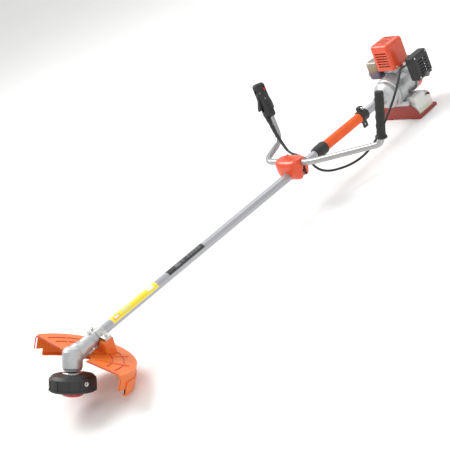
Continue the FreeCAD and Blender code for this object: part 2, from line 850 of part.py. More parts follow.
# ---------------------------------------------------------------- throttle grip
THROTTLE_SIDE = THROTTLE.multiply(aim((0, 0, 0), -Y_AXIS, X_AXIS))
TRIGGER_PIVOT = (17.0, 160.0)
SAFETY_PIVOT = (-12.5, 166.0)
BOOT_DIRECTION = unit(15, 24.6, -36.5)
BOOT_MOUTH = THROTTLE.multVec(Vector(16.6, 0, 80))


def across(point, radius, half):
    """A rod across the throttle grip at a (forward, along) point."""
    start = THROTTLE.multVec(Vector(point[0], -half, point[1]))
    end = THROTTLE.multVec(Vector(point[0], half, point[1]))
    return cylinder(radius, 2 * half, aim(start, end - start), "Pin")


def throttle_fasteners():
    """The trigger's pin, the safety lever's pin and the two screws of the grip's halves."""
    pins = [across(TRIGGER_PIVOT, 2.0, 13), across(SAFETY_PIVOT, 1.5, 13)]
    for point in ((13.0, 97.0), (0.0, 184.0)):
        pins.append(across(point, 1.6, 14))
    TOOLS["pins"] = group(*pins)
    return keep("throttle_fasteners", group(*pins))


def throttle_shell():
    """The whole throttle grip before it is split, with every slot and bore cut."""
    body = block((-16, -15, 78), (22, 15, 192), THROTTLE, "GripSkin", 11)
    bar_way = cylinder(
        bar_od / 2, 60,
        THROTTLE.multiply(Placement(Vector(0, 0, 62.5), Rotation())), "BarWay",
    )
    front_slot = block((11, -4.4, 102), (30, 4.4, 171), THROTTLE, "FrontSlot")
    rear_slot = block((-30, -4.4, 98), (-10.5, 4.4, 172), THROTTLE, "RearSlot")
    rear_pocket = block((-30, -4.4, 126), (-7, 4.4, 172), THROTTLE, "RearPocket")
    switch_slot = block((-6.3, 12.4, 163.5), (2.3, 20, 178), THROTTLE, "SwitchSlot")
    lock_place = aim(THROTTLE.multVec(Vector(8, 5.5, 140)), THROTTLE.Rotation.multVec(Y_AXIS))
    lock_hole = cylinder(3.8, 20, lock_place, "LockHole")
    tools = (
        bar_way, front_slot, rear_slot, rear_pocket, switch_slot, lock_hole,
        TOOLS["boot"], TOOLS["pins"],
    )
    return cut(body, *tools)


def throttle_cases():
    """The two moulded halves of the throttle grip."""
    shell = throttle_shell()
    inner_half = block((-60, 0.05, 40), (60, 60, 240), THROTTLE, "InnerHalf")
    outer_half = block((-60, -60, 40), (60, -0.05, 240), THROTTLE, "OuterHalf")
    keep("throttle_case_inner", common(shell, inner_half))
    keep("throttle_case_outer", common(shell, outer_half))


def throttle_trigger():
    """The trigger in front of the grip, hung on its pin at the top."""
    points = [
        (12.8, 157), (13.5, 164), (20, 164.5), (22, 158), (25, 142), (33, 124), (38, 113),
        (36.5, 106.5), (32, 107), (26, 118), (19, 140), (14, 150),
    ]
    lever = plate(points, 8, THROTTLE_SIDE, "Trigger")
    return keep("throttle_trigger", cut(lever, across(TRIGGER_PIVOT, 2.0 + FIT, 10)))


def safety_lever():
    """The lever behind the grip that the palm presses to free the trigger."""
    points = [
        (-9.8, 163), (-9.8, 168.5), (-14.5, 169.5), (-16, 164), (-18, 150), (-23, 126),
        (-23.5, 108), (-21, 103), (-18.5, 104), (-17.5, 112), (-17, 128), (-13.5, 150),
    ]
    lever = plate(points, 8, THROTTLE_SIDE, "Safety")
    return keep("safety_lever", cut(lever, across(SAFETY_PIVOT, 1.5 + FIT, 10)))


def stop_switch():
    """The sliding engine switch on the grip's inner side."""
    button = block((-6, 12.6, 164), (2, 18, 172), THROTTLE, "SwitchButton", 1.2)
    return keep("stop_switch", button)


def throttle_lock():
    """The button that holds the trigger half open for starting."""
    place = aim(THROTTLE.multVec(Vector(8, 9, 140)), THROTTLE.Rotation.multVec(Y_AXIS))
    button = turned([(0, 0), (3.5, 0), (3.5, 8), (2.5, 9.2), (0, 9.2)], place, "LockButton")
    return keep("throttle_lock", button)


def cable_boot():
    """The tapered rubber boot that the throttle cable leaves the grip through."""
    place = aim(BOOT_MOUTH, BOOT_DIRECTION)
    profile = [(0, -6), (6.6, -6), (6.6, 4), (7.4, 6), (7.4, 8), (6.4, 10), (6.8, 12), (6, 14)]
    profile += [(6.3, 16), (5.4, 20), (5.7, 22), (4.6, 28), (4.4, 30), (0, 30)]
    TOOLS["boot"] = turned(profile, place, "BootShape")
    copy = turned(profile, place, "Boot")
    return keep("cable_boot", copy)


def throttle_cable():
    """The cable's conduit, from the boot, over the tube behind the clamp, to the engine."""
    start = BOOT_MOUTH + BOOT_DIRECTION * 30
    points = [
        start, start + BOOT_DIRECTION * 28,
        (504, -76, 60), (525, -38, 40), (527, 6, 33), (523, 33, 8), (516, 46, -22), (494, 58, -42),
        (462, 73, -53), (424, 91, -59), (386, 114, -53), (350, 134, -34), (314, 148, -8),
        (280, 159, 20), (242, 163, 47), (200, 158, 70), (156, 142, 85), (116, 121, 91),
        (84, 99, 89), (58, 81, 82), (37, 74, 78),
    ]
    wire = route(points, free_radii(points, float(cable_od)))
    print("throttle cable length:", round(wire.Length))
    return keep("throttle_cable", drawn(swept(wire, cable_od / 2), "ThrottleCable"))


# ---------------------------------------------------------------- sleeve and hanger
def shaft_sleeve():
    """The soft orange sleeve on the tube in front of the operator's hip."""
    sleeve = ring(tube_od / 2, sleeve_radius, 232.3, 415.7, SHAFT, "Sleeve")
    return keep("shaft_sleeve", sleeve)


def front_collar():
    """The black collar in front of the sleeve, slanted at its front and bulged below."""
    profile = [(0, 416), (19.5, 416), (20.5, 420), (20.5, 446), (18, 464), (0, 464)]
    skin = fuse(turned(profile, SHAFT, "CollarSkin"), ball(15, (440, 0, -13)))
    way = ring(0, tube_od / 2, 400, 480, SHAFT, "CollarWay")
    return keep("front_collar", cut(skin, way))


def hanger_clamp():
    """The black harness hanger: a split band with ears above and an eye below."""
    band = turned([(0, 199), (18, 199), (20, 202), (20, 229), (18, 232), (0, 232)], SHAFT, "Band")
    ears = block((206, -9, 10), (225, 8, 31), Placement(), "Ears", 2.5)
    lug = block((205.5, -3.5, -41), (225.5, 3.5, -10), Placement(), "Lug", 1.5)
    slot = block((190, -0.8, 12), (240, 0.8, 40), Placement(), "Slot")
    eye = cylinder(5, 20, aim((215.5, -10, -30.5), Y_AXIS), "Eye")
    way = ring(0, tube_od / 2, 190, 240, SHAFT, "HangerWay")
    tools = (slot, eye, way, TOOLS["screws"])
    return keep("hanger_clamp", cut(fuse(band, ears, lug), *tools))


# ---------------------------------------------------------------- clutch
def clutch_housing():
    """The cast bell over the clutch, with a neck that takes the tube."""
    profile = [
        (42, 62), (50, 62), (50, 69), (46, 72), (45, 86), (31, 99), (21, 106), (19.5, 110),
        (19.5, 128), (tube_od / 2, 128), (tube_od / 2, tube_rear), (7 + FIT, tube_rear),
        (7 + FIT, 92), (36, 87), (42, 82),
    ]
    return keep("clutch_housing", turned(profile, SHAFT, "ClutchHousing"))


def clutch_drum():
    """The drum that the shoes grip, with a hub for the drive shaft."""
    radius = drum_radius
    profile = [
        (0, 80), (radius - 1.2, 80), (radius - 1.2, 62.6), (radius, 62.6), (radius, 82), (8, 83),
        (7, 84), (7, 103.5), (shaft_od / 2, 103.5), (shaft_od / 2, tube_rear - 6),
        (0, tube_rear - 6),
    ]
    return keep("clutch_drum", turned(profile, SHAFT, "Drum"))


def clutch_shoes():
    """Two shoes on their hub plate, with the ring spring round them."""
    shoes = ring(13, drum_radius - 1.8, 61, 78, SHAFT, "Shoes")
    gap = block((60, -1.5, -60), (79, 1.5, 60), Placement(), "Gap")
    groove = ring(drum_radius - 4.5, drum_radius + 2, 68, 72, SHAFT, "SpringGroove")
    parted = cut(shoes, gap, groove)
    plate_ring = ring(8, 20, 58, 61, SHAFT, "HubPlate")
    spring = doc.addObject("Part::Torus", "RingSpring")
    spring.Radius1 = float(drum_radius) - 3.4
    spring.Radius2 = 1.05
    spring.Placement = aim((70, 0, 0), X_AXIS)
    return keep("clutch_shoes", group(fuse(parted, plate_ring), spring))


# ---------------------------------------------------------------- engine
def flywheel():
    """The cast flywheel with its cooling blades."""
    wheel = turned([(8, 35), (46, 35), (46, 43), (16, 44), (16, 58), (8, 58)], SHAFT, "Wheel")
    blades = []
    count = 14
    for index in range(count):
        turn = SHAFT.multiply(Placement(Vector(0, 0, 0), Rotation(Z_AXIS, 360.0 / count * index)))
        blades.append(block((17, -1.2, 42), (45, 1.2, 55), turn, "Blade"))
    return keep("flywheel", fuse(wheel, *blades))


def crankshaft():
    """The crankshaft: journals, two webs, the crank pin and the starter's claw plate."""
    journal = 8.0
    webs = []
    for low in (-18, 8):
        webs.append(disc(29, low, low + 10, SHAFT, "Web"))
    front = disc(journal, 8, 60, SHAFT, "FrontJournal")
    rear = disc(journal, -50, -8, SHAFT, "RearJournal")
    pin = cylinder(7, 20, aim((-10, 0, stroke / 2), X_AXIS), "CrankPin")
    claw = disc(16, -47, -43, SHAFT, "ClawPlate")
    return keep("crankshaft", fuse(front, rear, pin, claw, *webs))


def crankcase():
    """The cast crankcase with the fan housing in front and two feet for the stand."""
    drum = disc(40, -38, 30, SHAFT, "CaseDrum")
    flange = disc(46, -38, -33, SHAFT, "RearFlange")
    fan_skin = turned([(0, 26), (46, 26), (52, 31), (52, 62), (0, 62)], SHAFT, "FanSkin")
    deck = block((-30, -30, 0), (30, 30, 44), Placement(), "Deck", 3)
    front_foot = block((40, -50, -58), (53, 50, -40), Placement(), "FrontFoot", 3)
    rear_foot = block((-50, -60, -58), (-24, 60, -51), Placement(), "RearFoot", 3)
    rear_web = block((-34, -14, -54), (-26, 14, -30), Placement(), "RearWeb")
    tools = [
        disc(31, -20, 20, SHAFT, "Chamber"),
        disc(49, 33, 63, SHAFT, "FanRoom"),
        disc(8 + FIT, -40, 34, SHAFT, "CrankBore"),
        cylinder(bore_radius + 0.1, 60, aim((0, 0, 0), Z_AXIS), "CylinderBore"),
    ]
    whole = fuse(drum, flange, fan_skin, deck, front_foot, rear_foot, rear_web)
    return keep("crankcase", cut(whole, *tools))


def piston():
    """The piston with its ring grooves, standing at the top of its stroke."""
    radius = bore_radius - FIT
    profile = [
        (0, 90), (radius, 90), (radius, 86.5), (radius - 1, 86.5), (radius - 1, 85),
        (radius, 85), (radius, 82.5), (radius - 1, 82.5), (radius - 1, 81), (radius, 81),
        (radius, 56), (radius - 2.5, 56), (radius - 2.5, 84), (0, 85),
    ]
    return keep("piston", turned(profile, Placement(), "Piston"))


def cylinder_block():
    """The finned cylinder with its two ports and the plug's hole."""
    barrel = disc(26, 44, 108, Placement(), "Barrel")
    fins = []
    count = 6
    for index in range(count):
        low = 68 + 7.0 * index
        fins.append(block((-35.5, -33.5, low), (35.5, 33.5, low + 2.2), Placement(), "Fin"))
    foot = block((-25, -25, 44), (25, 25, 49), Placement(), "Foot")
    intake = block((-14, 20, 47), (14, 40, 66.5), Placement(), "Intake")
    exhaust = block((-14, -40, 47), (14, -20, 66.5), Placement(), "Exhaust")
    bore_profile = [(0, 43), (bore_radius, 43), (bore_radius, 92), (12, 97), (0, 97)]
    tools = [
        turned(bore_profile, Placement(), "Bore"),
        cylinder(7, 84, aim((0, -42, 57), Y_AXIS), "Ports"),
        cylinder(5, 20, aim((0, 0, 95), Z_AXIS), "PlugHole"),
    ]
    return keep("cylinder", cut(fuse(barrel, foot, intake, exhaust, *fins), *tools))


def spark_plug():
    """The spark plug with its hexagon, its porcelain and the rubber cap."""
    profile = [
        (0, 94), (2, 94), (2, 97), (5, 97), (5, 108), (9, 108), (9, 110), (10, 110), (10, 118),
        (8, 120), (8, 122), (10.5, 122), (11, 124), (11, 138), (8, 146), (0, 147),
    ]
    return keep("spark_plug", turned(profile, Placement(), "SparkPlug"))


def muffler():
    """The pressed muffler box on the engine's right, with its outlet."""
    wall = 1.5
    skin = block((-34, -88, 34), (34, -40, 98), Placement(), "MufflerSkin", 9)
    room = block((-32.5, -86.5, 35.5), (32.5, -41.5, 96.5), Placement(), "MufflerRoom", 9 - wall)
    outlet = cylinder(8, 14, aim((18, -80, 54), unit(0.3, -1, -0.3)), "Outlet")
    outlet_way = cylinder(6.5, 30, aim((18, -76, 54), unit(0.3, -1, -0.3)), "OutletWay")
    inlet = cylinder(7, 10, aim((0, -46, 57), Y_AXIS), "Inlet")
    return keep("muffler", cut(fuse(cut(skin, room), outlet), outlet_way, inlet, room))


def carburettor():
    """The rotary-valve carburettor with its insulator, cable stop and primer seat."""
    body = block((-17, 50, 42), (17, 86, 72), Placement(), "CarbBody", 2.5)
    insulator = block((-13, 40, 47), (13, 53, 67), Placement(), "Insulator")
    arm = block((14, 64, 60), (26, 82, 66), Placement(), "StopArm")
    stop = block((23, 64, 62), (26, 82, 86), Placement(), "CableStop", 1.2)
    ferrule = cylinder(5, 13, aim((24, 74, 78), X_AXIS), "Ferrule")
    seat = ring(9.4, 12, 34, 43, aim((0, 68, 0), Z_AXIS), "PrimerSeat")
    tools = [
        cylinder(7, 60, aim((0, 38, 57), Y_AXIS), "Venturi"),
        cylinder(8 + FIT, 30, aim((0, 68, 47), Z_AXIS), "ValveBore"),
        cylinder(9.4, 14, aim((0, 68, 30), Z_AXIS), "PrimerRoom"),
        cylinder(1.2, 20, aim((20, 74, 78), X_AXIS), "WireWay"),
    ]
    return keep("carburettor", cut(fuse(body, insulator, arm, stop, ferrule, seat), *tools))


def throttle_valve():
    """The carburettor's turning barrel with the lever that the cable pulls."""
    barrel = disc(8, 47.5, 73, aim((0, 68, 0), Z_AXIS), "Barrel")
    cross_hole = cylinder(6.5, 20, aim((0, 58, 57), Y_AXIS), "CrossHole")
    lever_points = [(-6, -8), (6, -8), (8, 2), (4, 9), (2, 20), (-4, 20), (-7, 6), (-8, -2)]
    lever = plate(lever_points, 2.4, aim((0, 68, 74), Z_AXIS, unit(0.5, -0.9, 0)), "ValveLever")
    return keep("throttle_valve", cut(fuse(barrel, lever), cross_hole))


def primer_bulb():
    """The soft priming bulb under the carburettor."""
    profile = [(0, 25), (4.5, 26), (7.5, 28.5), (9, 32.5), (9, 38), (0, 38)]
    return keep("primer_bulb", turned(profile, aim((0, 68, 0), Z_AXIS), "PrimerBulb"))


def air_filter_case():
    """The black back plate of the air filter, bored for the air and the choke's pin."""
    back = block((-38, 86, 24), (38, 96, 104), Placement(), "FilterBack", 4)
    air_way = cylinder(7, 20, aim((0, 80, 57), Y_AXIS), "AirWay")
    pin_way = cylinder(2 + FIT, 8, aim((-26, 83, 50), Y_AXIS), "PinWay")
    return keep("air_filter_case", cut(back, air_way, pin_way))


def air_filter_cover():
    """The domed filter cover with its louvres."""
    wall = 2.2
    skin = block((-40, 88, 22), (40, 122, 106), Placement(), "FilterSkin", 9)
    low = (-40 + wall, 70, 22 + wall)
    high = (40 - wall, 122 - wall, 106 - wall)
    room = block(low, high, Placement(), "Room", 9 - wall)
    opening = block((-50, 80, 10), (50, 96.2, 120), Placement(), "Opening")
    louvres = []
    for index in range(5):
        low = 40 + index * 10.0
        louvres.append(block((-22, 118, low), (22, 124, low + 3.5), Placement(), "Louvre"))
    return keep("air_filter_cover", cut(skin, room, opening, *louvres))


def choke_lever():
    """The choke's lever behind the filter, on its own pin."""
    points = [(-5, -6), (5, -6), (6, 0), (5, 6), (-5, 6), (-20, 10), (-30, 10), (-30, 3), (-20, 2)]
    side = aim((-26, 82, 50), -Y_AXIS, X_AXIS)
    lever = plate(points, 3, side, "ChokePlate")
    pin = cylinder(2, 8, aim((-26, 82, 50), Y_AXIS), "ChokePin")
    return keep("choke_lever", fuse(lever, pin))


def fuel_tank():
    """The translucent tank, raised at both sides of the crankcase, with its filler neck."""
    base = block((-44, -72, -103), (41, 72, -61), Placement(), "TankBase", 9)
    lobes = []
    for side in (-1, 1):
        low = min(side * 40, side * 72)
        lobes.append(block((-18, low, -80), (36, low + 32, -36), Placement(), "Lobe", 7))
    neck = cylinder(12.5, 14, aim((-38, 26, -77), -X_AXIS), "Neck")
    return keep("fuel_tank", fuse(base, neck, *lobes))


def tank_cap():
    """The ribbed screw cap of the fuel tank."""
    place = aim((-38, 26, -77), -X_AXIS)
    profile = [
        (13, 9), (16.5, 9), (17, 10), (17, 22), (15, 25), (0, 25), (0, 15), (13, 15),
    ]
    cap = turned(profile, place, "Cap")
    notches = []
    count = 12
    for index in range(count):
        angle = 2 * math.pi * index / count
        centre = Vector(math.cos(angle), math.sin(angle), 0) * 18.7
        spot = place.multiply(Placement(centre + Z_AXIS * 8, Rotation()))
        notches.append(cylinder(2.4, 20, spot, "Notch"))
    return keep("tank_cap", cut(cap, *notches))


def tank_stand():
    """The orange cradle under the tank, cut level where it meets the floor."""
    half = stand_width / 2
    ahead = stand_length / 2
    low = -112.0
    floor = block((-ahead, -half, low), (ahead, half, -103.5), Placement(), "Floor", 3)
    front_points = [(-half, low), (half, low), (half, -84), (54, -58), (-54, -58), (-half, -84)]
    wall_frame = aim((47.2, 0, 0), X_AXIS, Y_AXIS)
    front = plate(front_points, 3.6, wall_frame, "FrontWall")
    rims = []
    for side in (-1, 1):
        middle = side * (half - 1.6)
        low_corner = (-49, middle - 1.6, -106)
        rims.append(block(low_corner, (47, middle + 1.6, -96), Placement(), "Rim"))
        middle = side * 54
        rims.append(block((-49, middle - 9, -106), (-45, middle + 9, -58), Placement(), "Post"))
    rims.append(block((-49, -76, -106), (-45.4, 76, -96), Placement(), "RearRim"))
    under = block((-300, -300, -60), (300, 300, 0), FRAME.inverse(), "UnderFloor")
    arch = block((28, -42, -130), (60, 42, -105), Placement(), "Arch")
    return keep("tank_stand", cut(fuse(floor, front, *rims), under, arch))


def engine_cover():
    """The orange top cover over the cylinder, with louvres on three sides."""
    wall = 2.4
    skin = block((-42, -39.5, 40), (42, 39.5, 158), Placement(), "TopSkin", 13)
    low = (-42 + wall, -39.5 + wall, 30)
    high = (42 - wall, 39.5 - wall, 158 - wall)
    room = block(low, high, Placement(), "TopRoom", 13 - wall)
    below = block((-60, -60, 20), (60, 60, 69), Placement(), "Below")
    tools = [room, below]
    for index in range(6):
        low = 82 + index * 9.0
        tools.append(block((-50, -24, low), (50, 24, low + 4), Placement(), "SideLouvre"))
    for index in range(5):
        start = -26 + index * 12.0
        tools.append(block((start, -20, 150), (start + 5, 20, 160), Placement(), "TopLouvre"))
    return keep("engine_cover", cut(skin, *tools))


def starter_housing():
    """The recoil starter's housing with its post and the rope's exit."""
    rear = aim((0, 0, 0), -X_AXIS, Z_AXIS)
    profile = [
        (43, 38), (46, 38), (46, 62), (38, 77), (20, 83), (0, 83), (0, 56), (7.9, 56),
        (7.9, 78), (19, 79), (35.5, 74), (43, 61),
    ]
    shell = turned(profile, rear, "StarterShell")
    boss = cylinder(7, 20, aim((PULL_X, PULLEY_Y, 34), Z_AXIS), "RopeBoss")
    rope_way = cylinder(3, 30, aim((PULL_X, PULLEY_Y, 28), Z_AXIS), "RopeWay")
    slots = []
    count = 10
    for index in range(count):
        turn = Rotation(Z_AXIS, 360.0 / count * index + 18)
        place = rear.multiply(Placement(Vector(0, 0, 0), turn))
        slots.append(block((24, -3, 60), (33, 3, 90), place, "Slot"))
    room = turned([(0, 36), (43, 36), (43, 61), (35.5, 74), (19, 79), (0, 79)], rear, "StarterRoom")
    boss_outside = cut(boss, room)
    return keep("starter_housing", cut(fuse(shell, boss_outside), rope_way, *slots))


def starter_pulley():
    """The rope pulley of the recoil starter on the housing's post."""
    rear = aim((0, 0, 0), -X_AXIS, Z_AXIS)
    inner = 8.0 - FIT
    profile = [(inner, 54), (30, 54), (30, 56), (24, 57.5), (24, 64.5), (30, 66), (30, 68)]
    profile.append((inner, 68))
    return keep("starter_pulley", turned(profile, rear, "Pulley"))


def starter_handle():
    """The T-shaped handle of the pull starter."""
    grip = block(
        (PULL_X - 8, PULLEY_Y - 22, 57), (PULL_X + 8, PULLEY_Y + 22, 72), Placement(), "Grip", 6,
    )
    foot = cone(5, 7, 8, aim((PULL_X, PULLEY_Y, 54.5), Z_AXIS), "Foot")
    return keep("starter_handle", fuse(grip, foot))


# ---------------------------------------------------------------- build, check and write
def build():
    """Make every sub-part in an order where each one's cutting tools exist."""
    cap_screws()
    for make in (
        main_tube, drive_shaft, shaft_bushes, gear_case, gear_case_bearings, pinion_gear,
        driven_gear, output_spindle, upper_flange, head_housing, line_spool, wound_line,
        head_spring, head_cover, bump_knob, guard, guard_bracket, guard_extension,
        line_cutter, handlebar, handle_clamp_blocks, handle_clamp_cap, clamp_cover,
        left_grip, throttle_fasteners, cable_boot, throttle_cases,
        throttle_trigger, safety_lever, stop_switch, throttle_lock, throttle_cable,
        shaft_sleeve, front_collar, hanger_clamp, clutch_housing, clutch_drum, clutch_shoes,
        flywheel, crankshaft, crankcase, piston, cylinder_block, spark_plug, muffler,
        carburettor, throttle_valve, primer_bulb, air_filter_case, air_filter_cover,
        choke_lever, fuel_tank, tank_cap, tank_stand, engine_cover, starter_housing,
        starter_pulley, starter_handle,
    ):
        make()
    doc.recompute()


def check():
    """Stop on any failed object or broken sub-part shape."""
    for item in doc.Objects:
        if "Invalid" in item.State or "Error" in item.State:
            raise RuntimeError("%s (%s) failed: %s" % (item.Name, item.Label, item.State))
    for label, piece in PIECES.items():
        if piece.Shape.isNull() or not piece.Shape.isValid() or piece.Shape.Volume <= 0:
            raise RuntimeError("%s has a bad shape" % label)


def write():
    """Write one STEP file for each sub-part."""
    os.makedirs("parts", exist_ok=True)
    for label, piece in PIECES.items():
        piece.Shape.exportStep("parts/%s.step" % label)


build()
check()
write()
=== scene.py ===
"""Looks for a petrol string trimmer: a finish for every part, and its finer pieces."""
import json
import math

import bmesh
import bpy
import numpy as np
from mathutils import Matrix, Vector


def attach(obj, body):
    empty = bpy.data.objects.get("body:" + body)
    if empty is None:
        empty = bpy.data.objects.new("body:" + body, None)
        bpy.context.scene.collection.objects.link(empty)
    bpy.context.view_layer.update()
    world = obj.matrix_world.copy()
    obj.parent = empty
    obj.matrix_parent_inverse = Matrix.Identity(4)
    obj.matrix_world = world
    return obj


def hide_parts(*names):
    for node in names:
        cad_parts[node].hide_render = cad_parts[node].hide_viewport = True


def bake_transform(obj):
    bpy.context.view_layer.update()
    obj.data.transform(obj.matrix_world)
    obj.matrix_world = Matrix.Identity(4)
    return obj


bl_info = {
    "name": "String Trimmer Finishes",
    "version": (1, 0, 0),
    "blender": (4, 5, 0),
    "location": "View3D > Sidebar > Trimmer",
    "description": "Paints a string trimmer and adds its grips, labels, cable and small parts",
    "category": "Object",
}

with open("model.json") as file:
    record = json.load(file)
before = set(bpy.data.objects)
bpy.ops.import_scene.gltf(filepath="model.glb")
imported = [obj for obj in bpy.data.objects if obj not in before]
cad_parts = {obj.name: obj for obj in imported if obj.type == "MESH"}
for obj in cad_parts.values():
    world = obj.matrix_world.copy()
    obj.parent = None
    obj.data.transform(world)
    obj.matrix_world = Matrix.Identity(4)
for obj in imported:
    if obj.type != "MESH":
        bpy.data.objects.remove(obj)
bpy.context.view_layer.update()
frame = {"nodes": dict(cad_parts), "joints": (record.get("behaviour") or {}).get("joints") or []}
JOINTS = {joint["name"]: joint for joint in frame["joints"]}
MM = 0.001


# ---------------------------------------------------------------- axes taken from the frame
class Axes:
    """A set of axes in millimetres: a point goes to origin + x*X + y*Y + z*Z in metres."""

    def __init__(self, origin, x, y, z):
        self.origin = np.array(origin, float)
        self.turn = np.array([x, y, z], float)

    def at(self, points):
        """Points of these axes, as an array of metres in the frame."""
        return self.origin + np.asarray(points, float) @ self.turn * MM

    def way(self, direction):
        """A direction of these axes, in the frame."""
        return np.asarray(direction, float) @ self.turn

    def moved(self, offset):
        """The same axes from another origin."""
        return Axes(self.at(offset), *self.turn)

    def along(self, start, direction, side):
        """Axes from a start point whose Z runs along a direction and whose X is near a side."""
        z = np.asarray(direction, float) / np.linalg.norm(direction)
        x = np.asarray(side, float) - z * (z @ np.asarray(side, float))
        x = x / np.linalg.norm(x)
        return Axes(self.at(start), self.way(x), self.way(np.cross(z, x)), self.way(z))


def joint_axis(name):
    """The unit axis of a joint."""
    axis = np.array(JOINTS[name]["axis"], float)
    return axis / np.linalg.norm(axis)


def machine_axes():
    """Axes on the shaft: X forward along it, Y to the left, Z up, from under the cylinder."""
    forward = joint_axis("shaft_spin")
    left = np.array([0.0, 1.0, 0.0])
    return Axes(JOINTS["crank_spin"]["pos_m"], forward, left, np.cross(forward, left))


def throttle_axes():
    """Axes of the throttle grip: X forward, Y inboard, Z up along the handlebar's arm."""
    along = joint_axis("switch_slide")
    inboard = -joint_axis("lock_press")
    forward = np.cross(inboard, along)
    pivot = np.array(JOINTS["trigger_pull"]["pos_m"])
    return Axes(pivot - (17 * forward + 160 * along) * MM, forward, inboard, along)


def spindle_axes(upright):
    """Axes on the output spindle: Z along a direction of it, X towards the operator."""
    back = -MACHINE.way((1, 0, 0))
    side = back - upright * (upright @ back)
    side = side / np.linalg.norm(side)
    return Axes(JOINTS["cutter_spin"]["pos_m"], side, np.cross(upright, side), upright)


def guard_axes():
    """Axes of the guard: those of the spindle with Z up, turned about the tube."""
    level = spindle_axes(-joint_axis("cutter_spin"))
    roll = Matrix.Rotation(math.radians(GUARD_ROLL), 3, Vector(MACHINE.way((1, 0, 0))))
    return Axes(level.origin, *(level.turn @ np.array(roll).T))


# sizes of the frame that the pieces follow, in millimetres, and a turn in degrees
GUARD_ROLL = -15.0
TUBE_RADIUS = 14.0
BAR_RADIUS = 9.5
CLAMP_STATION = 564.0
BAR_HEIGHT = 32.0
CLAMP_LOW = -18.5
GUARD_RADIUS = 170.0
PLATE_TOP = 2.0
SKIRT_LOW = -40.0
LEFT_BEND = (500.0, 321.8, 54.7)
LEFT_END = (473.6, 353.4, 197.3)
MACHINE = machine_axes()
THROTTLE = throttle_axes()
CUTTER = spindle_axes(joint_axis("cutter_spin"))
GUARD = guard_axes()
LEFT_ARM = MACHINE.along(LEFT_BEND, np.subtract(LEFT_END, LEFT_BEND), (1, 0, 0))


# ---------------------------------------------------------------- surfaces
def quads(rows, columns, wrap):
    """Corner numbers of a grid's faces: each cell joins its row and column to the next."""
    row = np.arange(rows - 1)[:, None]
    column = np.arange(columns if wrap else columns - 1)[None, :]
    ahead = (column + 1) % columns
    corners = (row * columns + column, row * columns + ahead,
               (row + 1) * columns + ahead, (row + 1) * columns + column)
    return np.stack(np.broadcast_arrays(*corners), -1).reshape(-1, 4)


def grid_marks(rows, columns, wrap):
    """The surface map of each face corner: across the columns in u, along the rows in v."""
    row = np.arange(rows - 1)[:, None]
    column = np.arange(columns if wrap else columns - 1)[None, :]
    span = columns if wrap else columns - 1
    u = np.stack(np.broadcast_arrays(column, column + 1, column + 1, column + 0 * row), -1)
    v = np.stack(np.broadcast_arrays(row + 0 * column, row, row + 1, row + 1), -1)
    return np.stack([u / span, v / (rows - 1)], -1).reshape(-1, 2)


def made(name, grids, key, body, wrap=True, closed=True):
    """One piece from one or more grids of points, with a finish and riding on a body."""
    points, faces, marks, start = [], [], [], 0
    for grid in grids:
        rows, columns = grid.shape[:2]
        points.append(grid.reshape(-1, 3))
        faces.append(quads(rows, columns, wrap) + start)
        marks.append(grid_marks(rows, columns, wrap))
        start += rows * columns
    mesh = bpy.data.meshes.new(name)
    mesh.from_pydata(np.concatenate(points).tolist(), [], np.concatenate(faces).tolist())
    layer = mesh.uv_layers.new(name="Surface")
    layer.data.foreach_set("uv", np.concatenate(marks).ravel())
    shape = bmesh.new()
    shape.from_mesh(mesh)
    bmesh.ops.remove_doubles(shape, verts=shape.verts, dist=1e-7)
    bmesh.ops.dissolve_degenerate(shape, edges=shape.edges, dist=1e-8)
    if closed:
        bmesh.ops.recalc_face_normals(shape, faces=shape.faces)
    shape.to_mesh(mesh)
    shape.free()
    mesh.polygons.foreach_set("use_smooth", np.ones(len(mesh.polygons), bool))
    mesh.materials.append(finish_for(key))
    piece = bpy.data.objects.new(name, mesh)
    bpy.context.collection.objects.link(piece)
    if body:
        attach(piece, body)
    return piece


def softened(corners, radius, steps=5):
    """An outline whose inner corners become quadratic curves: the corner pulls the curve."""
    corners = np.array(corners, float)
    line = [corners[:1]]
    share = np.linspace(0, 1, steps)[:, None]
    for before, corner, after in zip(corners, corners[1:], corners[2:]):
        sides = np.stack([before - corner, after - corner])
        lengths = np.maximum(np.linalg.norm(sides, axis=1, keepdims=True), 1e-9)
        first, last = corner + sides / lengths * min(radius, lengths.min() / 2.1)
        pull = 2 * share * (1 - share) * corner
        line.append((1 - share) ** 2 * first + pull + share ** 2 * last)
    line.append(corners[-1:])
    return np.concatenate(line)


def spun(profile, axes, columns=48, swell=None):
    """A turned surface: (radius, height) goes round Z, and swell adds to the radius."""
    profile = np.asarray(profile, float)
    angle = np.linspace(0, 2 * math.pi, columns, endpoint=False)[None, :]
    radius = profile[:, 0][:, None] + 0 * angle
    height = profile[:, 1][:, None] + 0 * angle
    if swell is not None:
        radius = np.maximum(radius + swell(angle, height, radius), 0)
    return axes.at(np.stack([radius * np.cos(angle), radius * np.sin(angle), height], -1))


def tube_along(path, upright, radius, axes, columns=14):
    """A round rod along a flat path: each ring stands on the path's side and its normal."""
    path = np.asarray(path, float)
    ahead = np.gradient(path, axis=0)
    ahead = ahead / np.linalg.norm(ahead, axis=1, keepdims=True)
    upright = np.broadcast_to(np.asarray(upright, float), path.shape)
    side = np.cross(ahead, upright)
    side = side / np.linalg.norm(side, axis=1, keepdims=True)
    lift = np.cross(side, ahead)
    angle = np.linspace(0, 2 * math.pi, columns, endpoint=False)
    across, rise = np.cos(angle)[:, None], np.sin(angle)[:, None]
    rings = path[:, None] + (across * side[:, None] + rise * lift[:, None]) * radius
    ends = [np.broadcast_to(path[i], (1, columns, 3)) for i in (0, -1)]
    return axes.at(np.concatenate([ends[0], rings, ends[1]]))


